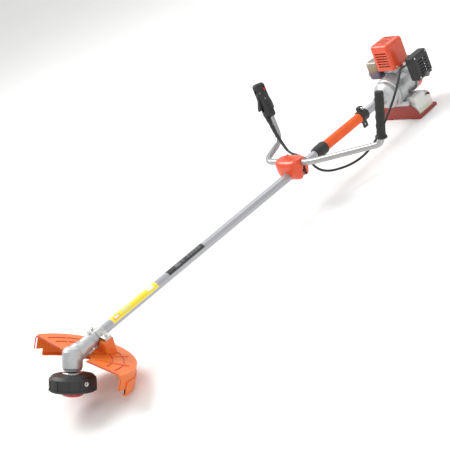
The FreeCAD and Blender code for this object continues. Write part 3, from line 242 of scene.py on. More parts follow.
def pill(centre, half, axes, rows=9, columns=18):
    """A closed ellipsoid: its half sizes scale a sphere's latitude and longitude."""
    rise = np.linspace(-math.pi / 2, math.pi / 2, rows)[:, None]
    angle = np.linspace(0, 2 * math.pi, columns, endpoint=False)[None, :]
    ball = np.stack([
        np.sin(rise) + 0 * angle, np.cos(rise) * np.cos(angle), np.cos(rise) * np.sin(angle),
    ], -1)
    return axes.at(np.asarray(centre, float) + ball * np.asarray(half, float))


def hex_recess(angle, height, radius):
    """Turns the narrow rings of a screw's recess into a hexagon: the apothem over the cosine."""
    corner = 1 / np.cos((angle + math.pi / 6) % (math.pi / 3) - math.pi / 6)
    return np.where(radius < 2.3, radius * (corner - 1), 0)


def button_screw(axes, size=1.0):
    """A button-head screw with a hexagon recess, seated on its axes."""
    profile = np.array([
        (0, 1.0), (1.9, 1.0), (1.9, 1.2), (2.0, 2.6), (2.4, 2.75), (3.2, 2.4), (4.0, 1.7),
        (4.5, 0.6), (4.55, 0), (4.4, -0.4), (0, -0.4),
    ])
    return spun(profile * size, axes, 36, hex_recess)


# ---------------------------------------------------------------- finishes
def maths(operation, swapped=False):
    """A method of Level that adds one Math node, with its two values swapped if asked."""
    def method(level, other=0.0):
        first, second = (other, level) if swapped else (level, other)
        return level.finish.node("Math", {0: first, 1: second}, operation=operation)
    return method


class Level:
    """A shader socket whose arithmetic adds Math nodes."""

    def __init__(self, finish, socket):
        self.finish = finish
        self.socket = socket

    __add__ = __radd__ = maths("ADD")
    __sub__ = maths("SUBTRACT")
    __rsub__ = maths("SUBTRACT", swapped=True)
    __mul__ = __rmul__ = maths("MULTIPLY")
    __gt__ = maths("GREATER_THAN")
    __lt__ = maths("LESS_THAN")
    wave = maths("SINE")
    part = maths("FRACT")

    def within(self, low, high):
        """One where this value lies between two numbers, and nought elsewhere."""
        return (self > low) * (self < high)


class Finish:
    """A material being mixed: its nodes, its coordinates and its closing surface."""

    def __init__(self, name):
        self.material = bpy.data.materials.new(name)
        self.material.use_nodes = True
        self.tree = self.material.node_tree
        self.shader = self.tree.nodes["Principled BSDF"]
        raw = self.node("TexCoord", {}, output="Object")
        lean = math.asin(MACHINE.turn[0][2])
        back = Matrix.Rotation(lean, 3, "Y") @ Vector(MACHINE.origin)
        self.spot = self.node(
            "Mapping",
            {"Vector": raw, "Location": tuple(-back), "Rotation": (0, lean, 0)},
        )

    def node(self, kind, sockets, output=0, stops=None, **settings):
        """Add a node of a kind with its settings and sockets, and hand back one output."""
        node = self.tree.nodes.new("ShaderNode" + kind)
        for name, value in settings.items():
            setattr(node, name, value)
        if stops:
            while len(node.color_ramp.elements) < len(stops):
                node.color_ramp.elements.new(1.0)
            for element, (place, colour) in zip(node.color_ramp.elements, stops):
                element.position = place
                element.color = (*colour, 1.0)
        for name, value in sockets.items():
            if isinstance(value, Level):
                self.tree.links.new(value.socket, node.inputs[name])
            else:
                node.inputs[name].default_value = value
        return Level(self, node.outputs[output])

    def noise(self, scale, detail=3.0, roughness=0.5, stretch=None):
        """Cloudy noise on the shaft's axes, features about 1/scale metres across."""
        spot = self.spot
        if stretch:
            spot = self.node("VectorMath", {0: spot, 1: stretch}, operation="MULTIPLY")
        sockets = {"Vector": spot, "Scale": scale, "Detail": detail, "Roughness": roughness}
        return self.node("TexNoise", sockets)

    def cells(self, scale):
        """Distance to the nearest of many scattered points."""
        return self.node("TexVoronoi", {"Vector": self.spot, "Scale": scale})

    def mix(self, share, first, second):
        """One colour shading into another."""
        sockets = {0: share, 6: colour_of(first), 7: colour_of(second)}
        return self.node("Mix", sockets, output=2, data_type="RGBA")

    def tones(self, share, colour, low, high):
        """A colour shading from a darker to a lighter tone of itself."""
        return self.mix(share, shade(colour, low), shade(colour, high))

    def parts(self, vector):
        """The x, y and z of a vector, as three levels."""
        node = self.tree.nodes.new("ShaderNodeSeparateXYZ")
        self.tree.links.new(vector.socket, node.inputs[0])
        return [Level(self, output) for output in node.outputs]

    def chart(self):
        """The piece's own surface map, as two levels."""
        return self.parts(self.node("TexCoord", {}, output="UV"))[:2]

    def bump(self, height, depth, before=None):
        """A bumped normal whose height of one is depth metres."""
        sockets = {"Height": height, "Distance": depth, "Strength": 1.0}
        if before is not None:
            sockets["Normal"] = before
        return self.node("Bump", sockets)

    def surface(self, tint, gloss, normal=None, **values):
        """Set the closing shader's sockets, given with underscores for spaces."""
        values.update(Base_Color=tint, Roughness=gloss)
        if normal is not None:
            values["Normal"] = normal
        for name, value in values.items():
            socket = self.shader.inputs[name.replace("_", " ")]
            if isinstance(value, Level):
                self.tree.links.new(value.socket, socket)
            elif isinstance(value, tuple) and len(value) == 3 and socket.type == "RGBA":
                socket.default_value = (*value, 1.0)
            else:
                socket.default_value = value
        return self.material


def colour_of(value):
    """A colour with its alpha, or a level as it is."""
    return value if isinstance(value, Level) else (*value, 1.0)


def shade(colour, factor):
    """A colour made lighter or darker by a factor."""
    return tuple(min(part * factor, 1.0) for part in colour)


def extruded_alloy(name, colour, roughness):
    """Drawn aluminium: long die lines down the tube, faint stains and small scratches."""
    finish = Finish(name)
    lines = finish.noise(1.0, 4.0, 0.6, stretch=(4.0, 1400.0, 1400.0))
    cloud = finish.noise(9.0, 4.0, 0.6)
    nicks = finish.noise(1.0, 2.0, 0.7, stretch=(900.0, 90.0, 90.0)) > 0.72
    tint = finish.tones(lines * 0.7 + cloud * 0.3, colour, 0.8, 1.12)
    tint = finish.mix(nicks * 0.35, tint, shade(colour, 0.55))
    gloss = roughness + (cloud - 0.5) * 0.22 + (lines - 0.5) * 0.12 + nicks * 0.15
    normal = finish.bump(lines * 0.6 + nicks * -0.5, 0.00006)
    return finish.surface(tint, gloss, normal, Metallic=0.5)


def moulded(name, colour, roughness, grain=2600.0, depth=0.00005, coat=0.0):
    """Moulded plastic: spark-eroded grain, dusty fading on top and a few pale scuffs."""
    finish = Finish(name)
    skin = finish.noise(grain, 2.0, 0.55)
    cloud = finish.noise(14.0, 5.0, 0.6)
    scuffs = finish.noise(1.0, 3.0, 0.7, stretch=(60.0, 420.0, 160.0)) > 0.74
    tint = finish.tones(cloud * 0.25 + skin * 0.12, colour, 0.82, 1.18)
    tint = finish.mix(scuffs * 0.12, tint, (0.75, 0.72, 0.68))
    gloss = roughness + (cloud - 0.5) * 0.2 + (skin - 0.5) * 0.16 + scuffs * 0.15
    normal = finish.bump(skin, depth, finish.bump(cloud, 0.0004))
    return finish.surface(tint, gloss, normal, Coat_Weight=coat, Coat_Roughness=0.12)


def grippy_rubber(name, colour):
    """Black rubber: matt, finely pitted, greyed by handling."""
    finish = Finish(name)
    pits = finish.cells(1500.0)
    cloud = finish.noise(30.0, 5.0, 0.65)
    dust = finish.noise(300.0, 3.0, 0.6)
    tint = finish.tones(cloud * 0.5 + dust * 0.3, colour, 0.7, 2.2)
    gloss = 0.62 + (cloud - 0.5) * 0.25 - pits * 0.1
    normal = finish.bump(pits, 0.00012)
    return finish.surface(tint, gloss, normal, Specular_IOR_Level=0.35)


def sleeve_foam(name, colour):
    """Closed-cell foam: open pores, soft sheen and grubby patches."""
    finish = Finish(name)
    pores = finish.cells(900.0)
    cloud = finish.noise(20.0, 5.0, 0.65)
    tint = finish.tones(cloud * 0.55, colour, 0.85, 1.15)
    tint = finish.mix((pores < 0.16) * 0.35, tint, shade(colour, 0.4))
    normal = finish.bump(pores, 0.0003, finish.bump(cloud, 0.0008))
    return finish.surface(
        tint, 0.62 + (cloud - 0.5) * 0.2, normal, Sheen_Weight=0.08, Sheen_Roughness=0.5,
    )


def cast_alloy(name, colour):
    """Die-cast aluminium: blasted skin with soft flow marks, a little oil in scattered patches."""
    finish = Finish(name)
    blast = finish.noise(1900.0, 3.0, 0.7)
    flow = finish.noise(38.0, 5.0, 0.6)
    stain = finish.noise(16.0, 6.0, 0.7) > 0.6
    tint = finish.tones(flow * 0.7 + blast * 0.3, colour, 0.72, 1.15)
    tint = finish.mix(stain * 0.18, tint, (0.12, 0.09, 0.06))
    normal = finish.bump(blast, 0.00009, finish.bump(flow, 0.0004))
    gloss = 0.48 + (blast - 0.5) * 0.25 - stain * 0.08
    return finish.surface(tint, gloss, normal, Metallic=0.85)


def plated_steel(name, colour):
    """Zinc-plated steel: spangled plating with dull spots and hairline scratches."""
    finish = Finish(name)
    spangle = finish.cells(420.0)
    cloud = finish.noise(120.0, 4.0, 0.6)
    lines = finish.noise(1.0, 2.0, 0.6, stretch=(300.0, 2400.0, 300.0))
    tint = finish.tones(cloud * 0.6 + spangle * 0.4, colour, 0.75, 1.2)
    tint = finish.mix((cloud > 0.66) * 0.3, tint, (0.42, 0.37, 0.26))
    gloss = 0.3 + (cloud - 0.5) * 0.3 + (lines - 0.5) * 0.1
    normal = finish.bump(lines * 0.5 + cloud * 0.5, 0.00005)
    return finish.surface(tint, gloss, normal, Metallic=1.0)


def ground_steel(name, colour):
    """Turned and ground steel: close tool rings along the shaft and a film of grease."""
    finish = Finish(name)
    rings = finish.noise(1.0, 3.0, 0.6, stretch=(2600.0, 12.0, 12.0))
    film = finish.noise(60.0, 5.0, 0.65)
    tint = finish.tones(rings * 0.6 + film * 0.4, colour, 0.65, 1.2)
    tint = finish.mix((film > 0.62) * 0.35, tint, (0.20, 0.15, 0.09))
    gloss = 0.24 + rings * 0.16 + (film - 0.5) * 0.2
    return finish.surface(tint, gloss, finish.bump(rings, 0.00004), Metallic=1.0)


def hot_steel(name, colour):
    """Muffler steel: straw and blue heat tint round the outlet, soot and fine rust."""
    finish = Finish(name)
    z = finish.parts(finish.spot)[2]
    cloud = finish.noise(40.0, 5.0, 0.65)
    rust = finish.noise(700.0, 4.0, 0.7)
    heat = (z * -14.0 + 1.45) + (cloud - 0.5) * 0.7
    tint = finish.node(
        "ValToRGB", {0: heat},
        stops=[(0.05, colour), (0.4, (0.30, 0.22, 0.12)), (0.65, (0.17, 0.13, 0.17)),
               (0.95, (0.10, 0.10, 0.11))],
    )
    tint = finish.mix((rust > 0.6) * 0.35, tint, (0.22, 0.09, 0.04))
    return finish.surface(
        tint, 0.42 + (rust - 0.5) * 0.4, finish.bump(rust, 0.00012), Metallic=0.85,
    )


def milky_tank(name, colour):
    """Blow-moulded tank: milky wall, a darker body of fuel below its level, faint seam."""
    finish = Finish(name)
    z = finish.parts(finish.spot)[2]
    cloud = finish.noise(22.0, 4.0, 0.6)
    skin = finish.noise(900.0, 3.0, 0.6)
    fuel = (z * -60.0 - 4.75 + (cloud - 0.5) * 0.3).within(0.0, 9.0)
    tint = finish.tones(cloud * 0.5, colour, 0.9, 1.06)
    tint = finish.mix(fuel * 0.38, tint, (0.62, 0.50, 0.30))
    normal = finish.bump(skin, 0.00005, finish.bump(cloud, 0.0009))
    return finish.surface(
        tint, 0.34 + (cloud - 0.5) * 0.2, normal, Subsurface_Weight=0.25, Subsurface_Scale=0.01,
        Specular_IOR_Level=0.45,
    )


def primer_rubber(name, colour):
    """Milky silicone with fine moulding rings."""
    finish = Finish(name)
    z = finish.parts(finish.spot)[2]
    rings = (z * 4200.0).wave()
    cloud = finish.noise(90.0, 4.0, 0.6)
    tint = finish.tones(cloud * 0.6, colour, 0.85, 1.1)
    return finish.surface(
        tint, 0.32 + (cloud - 0.5) * 0.2, finish.bump(rings, 0.00004), Subsurface_Weight=0.3,
        Subsurface_Scale=0.004,
    )


def sintered_bronze(name, colour):
    """Porous bronze, darkened by oil."""
    finish = Finish(name)
    pores = finish.cells(1100.0)
    cloud = finish.noise(150.0, 4.0, 0.6)
    tint = finish.tones(cloud * 0.5 + pores * 0.5, colour, 0.5, 1.25)
    return finish.surface(tint, 0.4 + cloud * 0.2, finish.bump(pores, 0.0001), Metallic=1.0)


def nylon_line(name, colour):
    """Glossy nylon line: each turn catches the light, with faint flow streaks."""
    finish = Finish(name)
    streaks = finish.noise(300.0, 3.0, 0.6)
    cloud = finish.noise(50.0, 4.0, 0.6)
    tint = finish.tones(streaks * 0.6 + cloud * 0.4, colour, 0.7, 1.2)
    return finish.surface(tint, 0.22 + (streaks - 0.5) * 0.2, finish.bump(streaks, 0.00008))


def plug_body(name):
    """Spark plug: plated shell at the foot, white porcelain above and the black cap on top."""
    finish = Finish(name)
    z = finish.parts(finish.spot)[2]
    cloud = finish.noise(200.0, 4.0, 0.6)
    shell = z < 0.120
    cap = z > 0.1222
    tint = finish.mix(cap, (0.85, 0.84, 0.80), (0.02, 0.02, 0.02))
    tint = finish.mix(shell, tint, (0.62, 0.60, 0.55))
    tint = finish.mix(cloud * 0.2, tint, (0.1, 0.08, 0.06))
    return finish.surface(
        tint, 0.3 + cloud * 0.25, finish.bump(cloud, 0.00008), Metallic=shell * 0.9,
    )


def warning_sheet(name):
    """Yellow vinyl label with plain coloured panels and bars, a thin border, no lettering."""
    finish = Finish(name)
    u, v = finish.chart()
    cloud = finish.noise(60.0, 5.0, 0.65)
    tint = finish.mix(cloud * 0.5, (0.86, 0.70, 0.03), (0.96, 0.82, 0.05))
    border = 1 - u.within(0.05, 0.95) * v.within(0.015, 0.985)
    tint = finish.mix(border * 0.8, tint, (0.93, 0.82, 0.25))
    bands = (v * 42.0).part() > 0.25
    blocks = ((v * 17.0).part() < 0.5) * ((u * 9.0).part() > 0.4)
    flecks = (v * 30.0).part() < 0.45
    for along, across, pattern, share, colour in (
        ((0.05, 0.17), (0.20, 0.50), 1, 0.9, (0.75, 0.16, 0.03)),
        ((0.065, 0.155), (0.25, 0.45), 1, 0.9, (0.90, 0.88, 0.82)),
        ((0.24, 0.40), (0.22, 0.62), bands, 0.6, (0.55, 0.68, 0.52)),
        ((0.42, 0.78), (0.52, 0.74), blocks, 0.7, (0.92, 0.92, 0.86)),
        ((0.20, 0.76), (0.12, 0.24), flecks, 0.55, (0.88, 0.45, 0.06)),
        ((0.80, 0.93), (0.24, 0.66), 1, 0.85, (0.84, 0.85, 0.84)),
    ):
        panel = v.within(*along) * u.within(*across) * pattern
        tint = finish.mix(panel * share, tint, colour)
    normal = finish.bump(cloud, 0.0002)
    gloss = 0.30 + (cloud - 0.5) * 0.15
    return finish.surface(tint, gloss, normal, Coat_Weight=0.4, Coat_Roughness=0.1)


def data_sheet(name):
    """Black vinyl label with faint plain bars and one faint block, no lettering."""
    finish = Finish(name)
    u, v = finish.chart()
    cloud = finish.noise(80.0, 5.0, 0.65)
    tint = finish.mix(cloud * 0.6, (0.018, 0.020, 0.019), (0.05, 0.055, 0.05))
    bars = u.within(0.25, 0.75) * ((u * 9.0).part() > 0.6) * ((v * 13.0).part() > 0.3)
    bars = bars * (v.within(0.22, 0.46) + v.within(0.56, 0.92))
    tint = finish.mix(bars * 0.5, tint, (0.38, 0.40, 0.38))
    block = u.within(0.22, 0.78) * v.within(0.22, 0.34)
    tint = finish.mix(block * 0.35, tint, (0.30, 0.31, 0.30))
    normal = finish.bump(cloud, 0.0002)
    gloss = 0.34 + (cloud - 0.5) * 0.15
    return finish.surface(tint, gloss, normal, Coat_Weight=0.3, Coat_Roughness=0.15)


def rope_weave(name):
    """Braided starter rope: pale yarn with a coloured fleck across the braid."""
    finish = Finish(name)
    u, v = finish.chart()
    turn = 6.2832
    braid = ((u * 6.0 + v * 60.0) * turn).wave() * ((u * 6.0 - v * 60.0) * turn).wave()
    fleck = (u * 3.0 + v * 20.0).part() < 0.12
    tint = finish.mix(braid * 0.5 + 0.5, (0.40, 0.38, 0.33), (0.82, 0.80, 0.74))
    tint = finish.mix(fleck * 0.7, tint, (0.55, 0.05, 0.04))
    return finish.surface(tint, 0.85 + fleck * 0.05, finish.bump(braid, 0.0003))


def studio_floor(name):
    """The pale floor: a warm white with a very faint mottling."""
    finish = Finish(name)
    cloud = finish.noise(3.0, 4.0, 0.5)
    tint = finish.mix(cloud, (0.86, 0.86, 0.85), (0.90, 0.90, 0.89))
    return finish.surface(tint, 0.7 + (cloud - 0.5) * 0.1, Specular_IOR_Level=0.2)


# each finish: its maker, the material's name, and the maker's values; a word is a colour setting
RECIPES = {
    "tube": (extruded_alloy, "tube_alloy", "tube", 0.34),
    "bar": (extruded_alloy, "handlebar_alloy", "bar", 0.26),
    "gloss_orange": (moulded, "gloss_orange", "cover", 0.28, 2600.0, 0.00005, 0.35),
    "guard_orange": (moulded, "guard_orange", "guard", 0.42, 1600.0, 0.00008),
    # the beads' finish is a darker red of the guard's own plastic: painted shade along the guard's
    # edges
    "guard_edge": (moulded, "guard_edge_red", "edge", 0.4, 1600.0, 0.00008),
    "cradle_red": (moulded, "cradle_red", "cradle", 0.32, 2600.0, 0.00005, 0.2),
    "sleeve": (sleeve_foam, "sleeve_foam", "sleeve"),
    "black": (moulded, "black_nylon", (0.022, 0.022, 0.022), 0.5, 1500.0, 0.0001),
    "black_soft": (grippy_rubber, "black_rubber", (0.018, 0.018, 0.017)),
    "red": (moulded, "red_acetal", (0.55, 0.025, 0.018), 0.35),
    "grey": (moulded, "grey_acetal", (0.16, 0.165, 0.17), 0.4),
    "cast": (cast_alloy, "cast_alloy", (0.55, 0.56, 0.57)),
    "zinc": (plated_steel, "zinc_plate", (0.66, 0.66, 0.64)),
    "ground": (ground_steel, "ground_steel", (0.55, 0.55, 0.56)),
    "muffler": (hot_steel, "muffler_steel", (0.36, 0.34, 0.31)),
    "tank": (milky_tank, "tank_wall", "tank"),
    "primer": (primer_rubber, "primer_silicone", (0.78, 0.78, 0.70)),
    "bronze": (sintered_bronze, "bush_bronze", (0.50, 0.34, 0.15)),
    "line": (nylon_line, "cutting_line", (0.75, 0.26, 0.03)),
    "plug": (plug_body, "plug_parts"),
    "warning": (warning_sheet, "warning_vinyl"),
    "data": (data_sheet, "data_vinyl"),
    "rope": (rope_weave, "rope_braid"),
    "floor": (studio_floor, "studio_floor"),
}
FINISHES = {}


def finish_for(key):
    """The shared material of a finish, made the first time that it is asked for."""
    if key not in FINISHES:
        colours = bpy.context.scene.trimmer_colours
        maker, name, *values = RECIPES[key]
        values = [tuple(getattr(colours, v)) if isinstance(v, str) else v for v in values]
        FINISHES[key] = maker(name, *values)
    return FINISHES[key]


PAINT = {
    "tube": ["main_tube"],
    "bar": ["handlebar"],
    "gloss_orange": ["clamp_cover", "engine_cover", "starter_housing"],
    "guard_orange": ["guard", "guard_extension"],
    "cradle_red": ["tank_stand"],
    "sleeve": ["shaft_sleeve"],
    "black": [
        "front_collar", "hanger_clamp", "throttle_case_inner", "throttle_case_outer",
        "throttle_trigger", "safety_lever", "air_filter_case", "air_filter_cover", "tank_cap",
        "starter_handle", "starter_pulley", "line_spool", "head_cover", "head_housing",
        "choke_lever",
    ],
    "black_soft": ["left_grip", "cable_boot", "throttle_cable"],
    "red": ["stop_switch", "bump_knob"],
    "grey": ["throttle_lock"],
    "cast": [
        "gear_case", "clutch_housing", "crankcase", "cylinder", "piston",
        "handle_clamp_blocks", "handle_clamp_cap", "carburettor", "throttle_valve", "flywheel",
    ],
    "zinc": ["cap_screws", "guard_bracket", "throttle_fasteners", "upper_flange", "line_cutter"],
    "ground": [
        "drive_shaft", "pinion_gear", "driven_gear", "output_spindle", "gear_case_bearings",
        "crankshaft", "clutch_drum", "clutch_shoes", "head_spring",
    ],
    "muffler": ["muffler"],
    "tank": ["fuel_tank"],
    "primer": ["primer_bulb"],
    "bronze": ["shaft_bushes"],
    "line": ["wound_line"],
    "plug": ["spark_plug"],
}


# ---------------------------------------------------------------- settings
def colour_setting(name, description, default):
    """A colour that a user may change."""
    return bpy.props.FloatVectorProperty(
        name=name, description=description, default=default, subtype="COLOR", min=0.0, max=1.0,
    )


def length_setting(name, description, default):
    """A length that a user may change, in metres."""
    return bpy.props.FloatProperty(
        name=name, description=description, default=default, min=0.0, unit="LENGTH",
    )


class TrimmerColours(bpy.types.PropertyGroup):
    """The colours of the painted and moulded parts."""

    tube: colour_setting("Tube", "Drawn aluminium of the main tube", (0.44, 0.45, 0.47))
    bar: colour_setting("Handlebar", "Polished aluminium of the handlebar", (0.42, 0.42, 0.42))
    cover: colour_setting("Covers", "Glossy clamp and engine covers", (0.80, 0.072, 0.012))
    guard: colour_setting("Guard", "Moulded deflector", (0.88, 0.185, 0.022))
    # the edge colour is a darker red of the guard's plastic, painted shade along its beads and ribs
    edge: colour_setting("Guard edge", "Beads and ribs of the deflector", (0.62, 0.055, 0.012))
    sleeve: colour_setting("Sleeve", "Foam sleeve at the operator's hip", (0.95, 0.11, 0.004))
    cradle: colour_setting("Cradle", "Stand under the fuel tank", (0.32, 0.020, 0.006))
    tank: colour_setting("Tank", "Milky wall of the fuel tank", (0.74, 0.75, 0.73))


class TrimmerSizes(bpy.types.PropertyGroup):
    """Sizes of the pieces that are added to the frame."""

    label_lift: length_setting("Label lift", "Thickness of the vinyl labels", 0.00018)
    rope_radius: length_setting("Rope radius", "Half the starter rope's diameter", 0.0016)
    cable_radius: length_setting("Cable radius", "Half the throttle conduit's diameter", 0.00375)
    bead_radius: length_setting("Bead radius", "Half width of the beads round the guard", 0.0018)


# ---------------------------------------------------------------- pieces
# each label: its piece, finish, slot, both stations on the tube, its middle and its spread
LABELS = (
    ("warning_label", "warning", "orange_sleeve", 1366, 1189, 68, 132),
    ("data_label", "data", "black_plastic", 1141, 993, 68, 96),
)


def label_grid(start, end, middle, spread, lift):
    """A patch of a cylinder: length runs along the tube and the angle round it."""
    station = np.linspace(start, end, 40)[:, None]
    angle = np.radians(np.linspace(middle - spread / 2, middle + spread / 2, 33))[None, :]
    radius = TUBE_RADIUS + lift / MM
    return MACHINE.at(np.stack([
        station + 0 * angle, radius * np.cos(angle) + 0 * station,
        radius * np.sin(angle) + 0 * station,
    ], -1))


class TRIMMER_OT_labels(bpy.types.Operator):
    """Add the yellow warning label and the black data label on the tube"""

    bl_idname = "trimmer.labels"
    bl_label = "Tube Labels"

    def execute(self, context):
        lift = context.scene.trimmer_sizes.label_lift
        for name, finish, slot, *place in LABELS:
            sheet = label_grid(*place, lift)
            made(name, [sheet], finish, "root", wrap=False, closed=False)
        return {"FINISHED"}


def grip_swell(angle, height, radius):
    """Rubber grip: finger hollows along it, rings between them and fine ribs round the palm."""
    body = (height > 40) & (height < 146) & (radius > 10)
    fingers = -0.7 * np.cos((height - 42) / 26.5 * 2 * math.pi) * (np.cos(angle) > -0.2)
    ribs = 0.28 * np.cos(24 * angle) * (np.sin((height - 40) / 106 * math.pi) > 0.25)
    rings = -0.5 * np.exp(-(((height - 44) % 11.0 - 5.5) / 0.8) ** 2)
    return np.where(body, fingers + ribs + rings, 0)


class TRIMMER_OT_left_grip(bpy.types.Operator):
    """Add the ribbed rubber grip for the left hand"""

    bl_idname = "trimmer.left_grip"
    bl_label = "Left Grip"

    def execute(self, context):
        outside = softened([
            (BAR_RADIUS, 19), (17.2, 19), (18, 21.5), (17.2, 24.8), (14.4, 26.5), (13.4, 31),
        ], 1.6)
        heights = np.linspace(33, 148, 160)
        body = np.stack([0 * heights + 13.2, heights], -1)
        crown = softened([(13.2, 149), (13.4, 154), (12, 157.5), (7, 158.9), (0, 159)], 2.2)
        inside = np.array([(BAR_RADIUS + 0.05, 149.5), (0, 149.5)])[::-1]
        profile = np.concatenate([inside, [(BAR_RADIUS + 0.05, 22)], outside, body, crown])
        grid = spun(profile, LEFT_ARM, 144, grip_swell)
        grip = made("left_grip_rubber", [grid], "black_soft", "root")
        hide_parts("left_grip")
        return {"FINISHED"}


class TRIMMER_OT_throttle_ribs(bpy.types.Operator):
    """Add the finger ribs on both sides of the throttle grip"""

    bl_idname = "trimmer.throttle_ribs"
    bl_label = "Throttle Grip Ribs"

    def execute(self, context):
        ribs = []
        for side in (-1, 1):
            for station in np.arange(94.0, 130.0, 5.0):
                ribs.append(pill((3, side * 14.95, station), (7.5, 0.9, 1.5), THROTTLE))
        made("throttle_ribs", ribs, "black_soft", "root")
        return {"FINISHED"}


SLEEVE_START = 232.4
SLEEVE_END = 415.6


def sleeve_swell(angle, height, radius):
    """Foam sleeve: shallow flutes lengthways and a slow, uneven swelling."""
    flutes = -0.35 * np.abs(np.cos(9 * angle)) ** 6
    slow = 0.18 * np.sin(height / 23.0) * np.cos(2 * angle + height / 60.0)
    return np.where((radius > 15.5) & (height > 238) & (height < 410), flutes + slow, 0)


class TRIMMER_OT_sleeve(bpy.types.Operator):
    """Add the foam sleeve with its rolled ends"""

    bl_idname = "trimmer.sleeve"
    bl_label = "Foam Sleeve"

    def execute(self, context):
        start = (TUBE_RADIUS, SLEEVE_START)
        end = (TUBE_RADIUS, SLEEVE_END)
        head = softened([start, (15.6, SLEEVE_START), (16.6, 234.5), (16.1, 237.5)], 1.4)
        heights = np.linspace(239, 409, 120)
        body = np.stack([0 * heights + 16.15, heights], -1)
        tail = softened([(16.1, 410.5), (16.6, 413.5), (15.6, SLEEVE_END), end], 1.4)
        profile = np.concatenate([head, body, tail, [end, start]])
        shaft = MACHINE.along((0, 0, 0), (1, 0, 0), (0, 0, 1))
        grid = spun(profile, shaft, 108, sleeve_swell)
        sleeve = made("sleeve_cover", [grid], "sleeve", "root")
        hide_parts("shaft_sleeve")
        return {"FINISHED"}


def cable_route():
    """Points from the boot, over the tube behind the clamp, to the engine."""
    boot = np.array([15, 24.6, -36.5])
    boot = boot / np.linalg.norm(boot)
    mouth = (THROTTLE.at((16.6, 0, 80)) - MACHINE.origin) @ MACHINE.turn.T / MM
    start = mouth + boot * 30
    return [
        tuple(start), tuple(start + boot * 28),
        (504, -76, 60), (525, -38, 40), (527, 6, 33), (523, 33, 8), (516, 46, -22),
        (494, 58, -42), (462, 73, -53), (424, 91, -59), (386, 114, -53), (350, 134, -34),
        (314, 148, -8), (280, 159, 20), (242, 163, 47), (200, 158, 70), (156, 142, 85),
        (116, 121, 91), (84, 99, 89), (58, 81, 82), (37, 74, 78),
    ]


def outward(piece):
    """Above nought where a shell's faces look away from its middle."""
    mesh = piece.data
    count = len(mesh.polygons)
    centres, normals = np.empty(count * 3), np.empty(count * 3)
    mesh.polygons.foreach_get("center", centres)
    mesh.polygons.foreach_get("normal", normals)
    centres = centres.reshape(-1, 3)
    return float(((centres - centres.mean(0)) * normals.reshape(-1, 3)).sum())


COVER_HALF = 47.0


def cover_rings():
    """Clamp cover: rings along the bar, each a squared ellipse that is open below.

    A ring's width, top and middle shade from slim at both ends to the clamp's size in
    the middle, by a power of the ring's distance from the middle. Past the ends, ten
    rings shade straight into a circle round the bar.
    """
    along = np.linspace(-1, 1, 81)
    full = (1 - np.abs(along) ** 3.4) ** 0.55
    width = 16.0 + 17.0 * full
    top = 45.0 + 5.0 * full
    low = 8.0 - 27.0 * (1 - np.abs(along) ** 9) ** 0.5
    middle = 26.0 - 8.0 * full
    angle = np.radians(np.linspace(-72, 252, 73))
    across, rise = (np.sign(v) * np.abs(v) ** 0.62 for v in (np.cos(angle), np.sin(angle)))
    lean = 1 + 0.06 * np.minimum(rise, 0) * full[:, None]
    x = CLAMP_STATION + 5 + width[:, None] * across * lean
    height = np.where(rise > 0, (top - middle)[:, None], (middle - low)[:, None])
    z = np.maximum(middle[:, None] + height * rise, CLAMP_LOW)
    rings = np.stack([x, COVER_HALF * along[:, None] + 0 * x, z], -1)
    close = np.linspace(0.1, 1, 10)[:, None, None]
    neck = BAR_RADIUS + 0.6
    circle = np.stack([neck * np.cos(angle), 0 * angle, neck * np.sin(angle)], -1)
    first, last = [
        (1 - close) * rings[end] + close * (circle + (CLAMP_STATION, reach, BAR_HEIGHT))
        for end, reach in ((0, -COVER_HALF - 2), (-1, COVER_HALF + 2))
    ]
    return MACHINE.at(np.concatenate([first[::-1], rings, last]))


class TRIMMER_OT_clamp_cover(bpy.types.Operator):
    """Add the rounded cover of the handlebar clamp"""

    bl_idname = "trimmer.clamp_cover"
    bl_label = "Clamp Cover"

    def execute(self, context):
        cover = made(
            "clamp_cover_shell", [cover_rings()], "gloss_orange",
            "root", wrap=False,
        )
        wall = cover.modifiers.new("wall", "SOLIDIFY")
        wall.thickness = 2.2 * MM
        wall.offset = 1 if outward(cover) < 0 else -1
        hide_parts("clamp_cover")
        return {"FINISHED"}


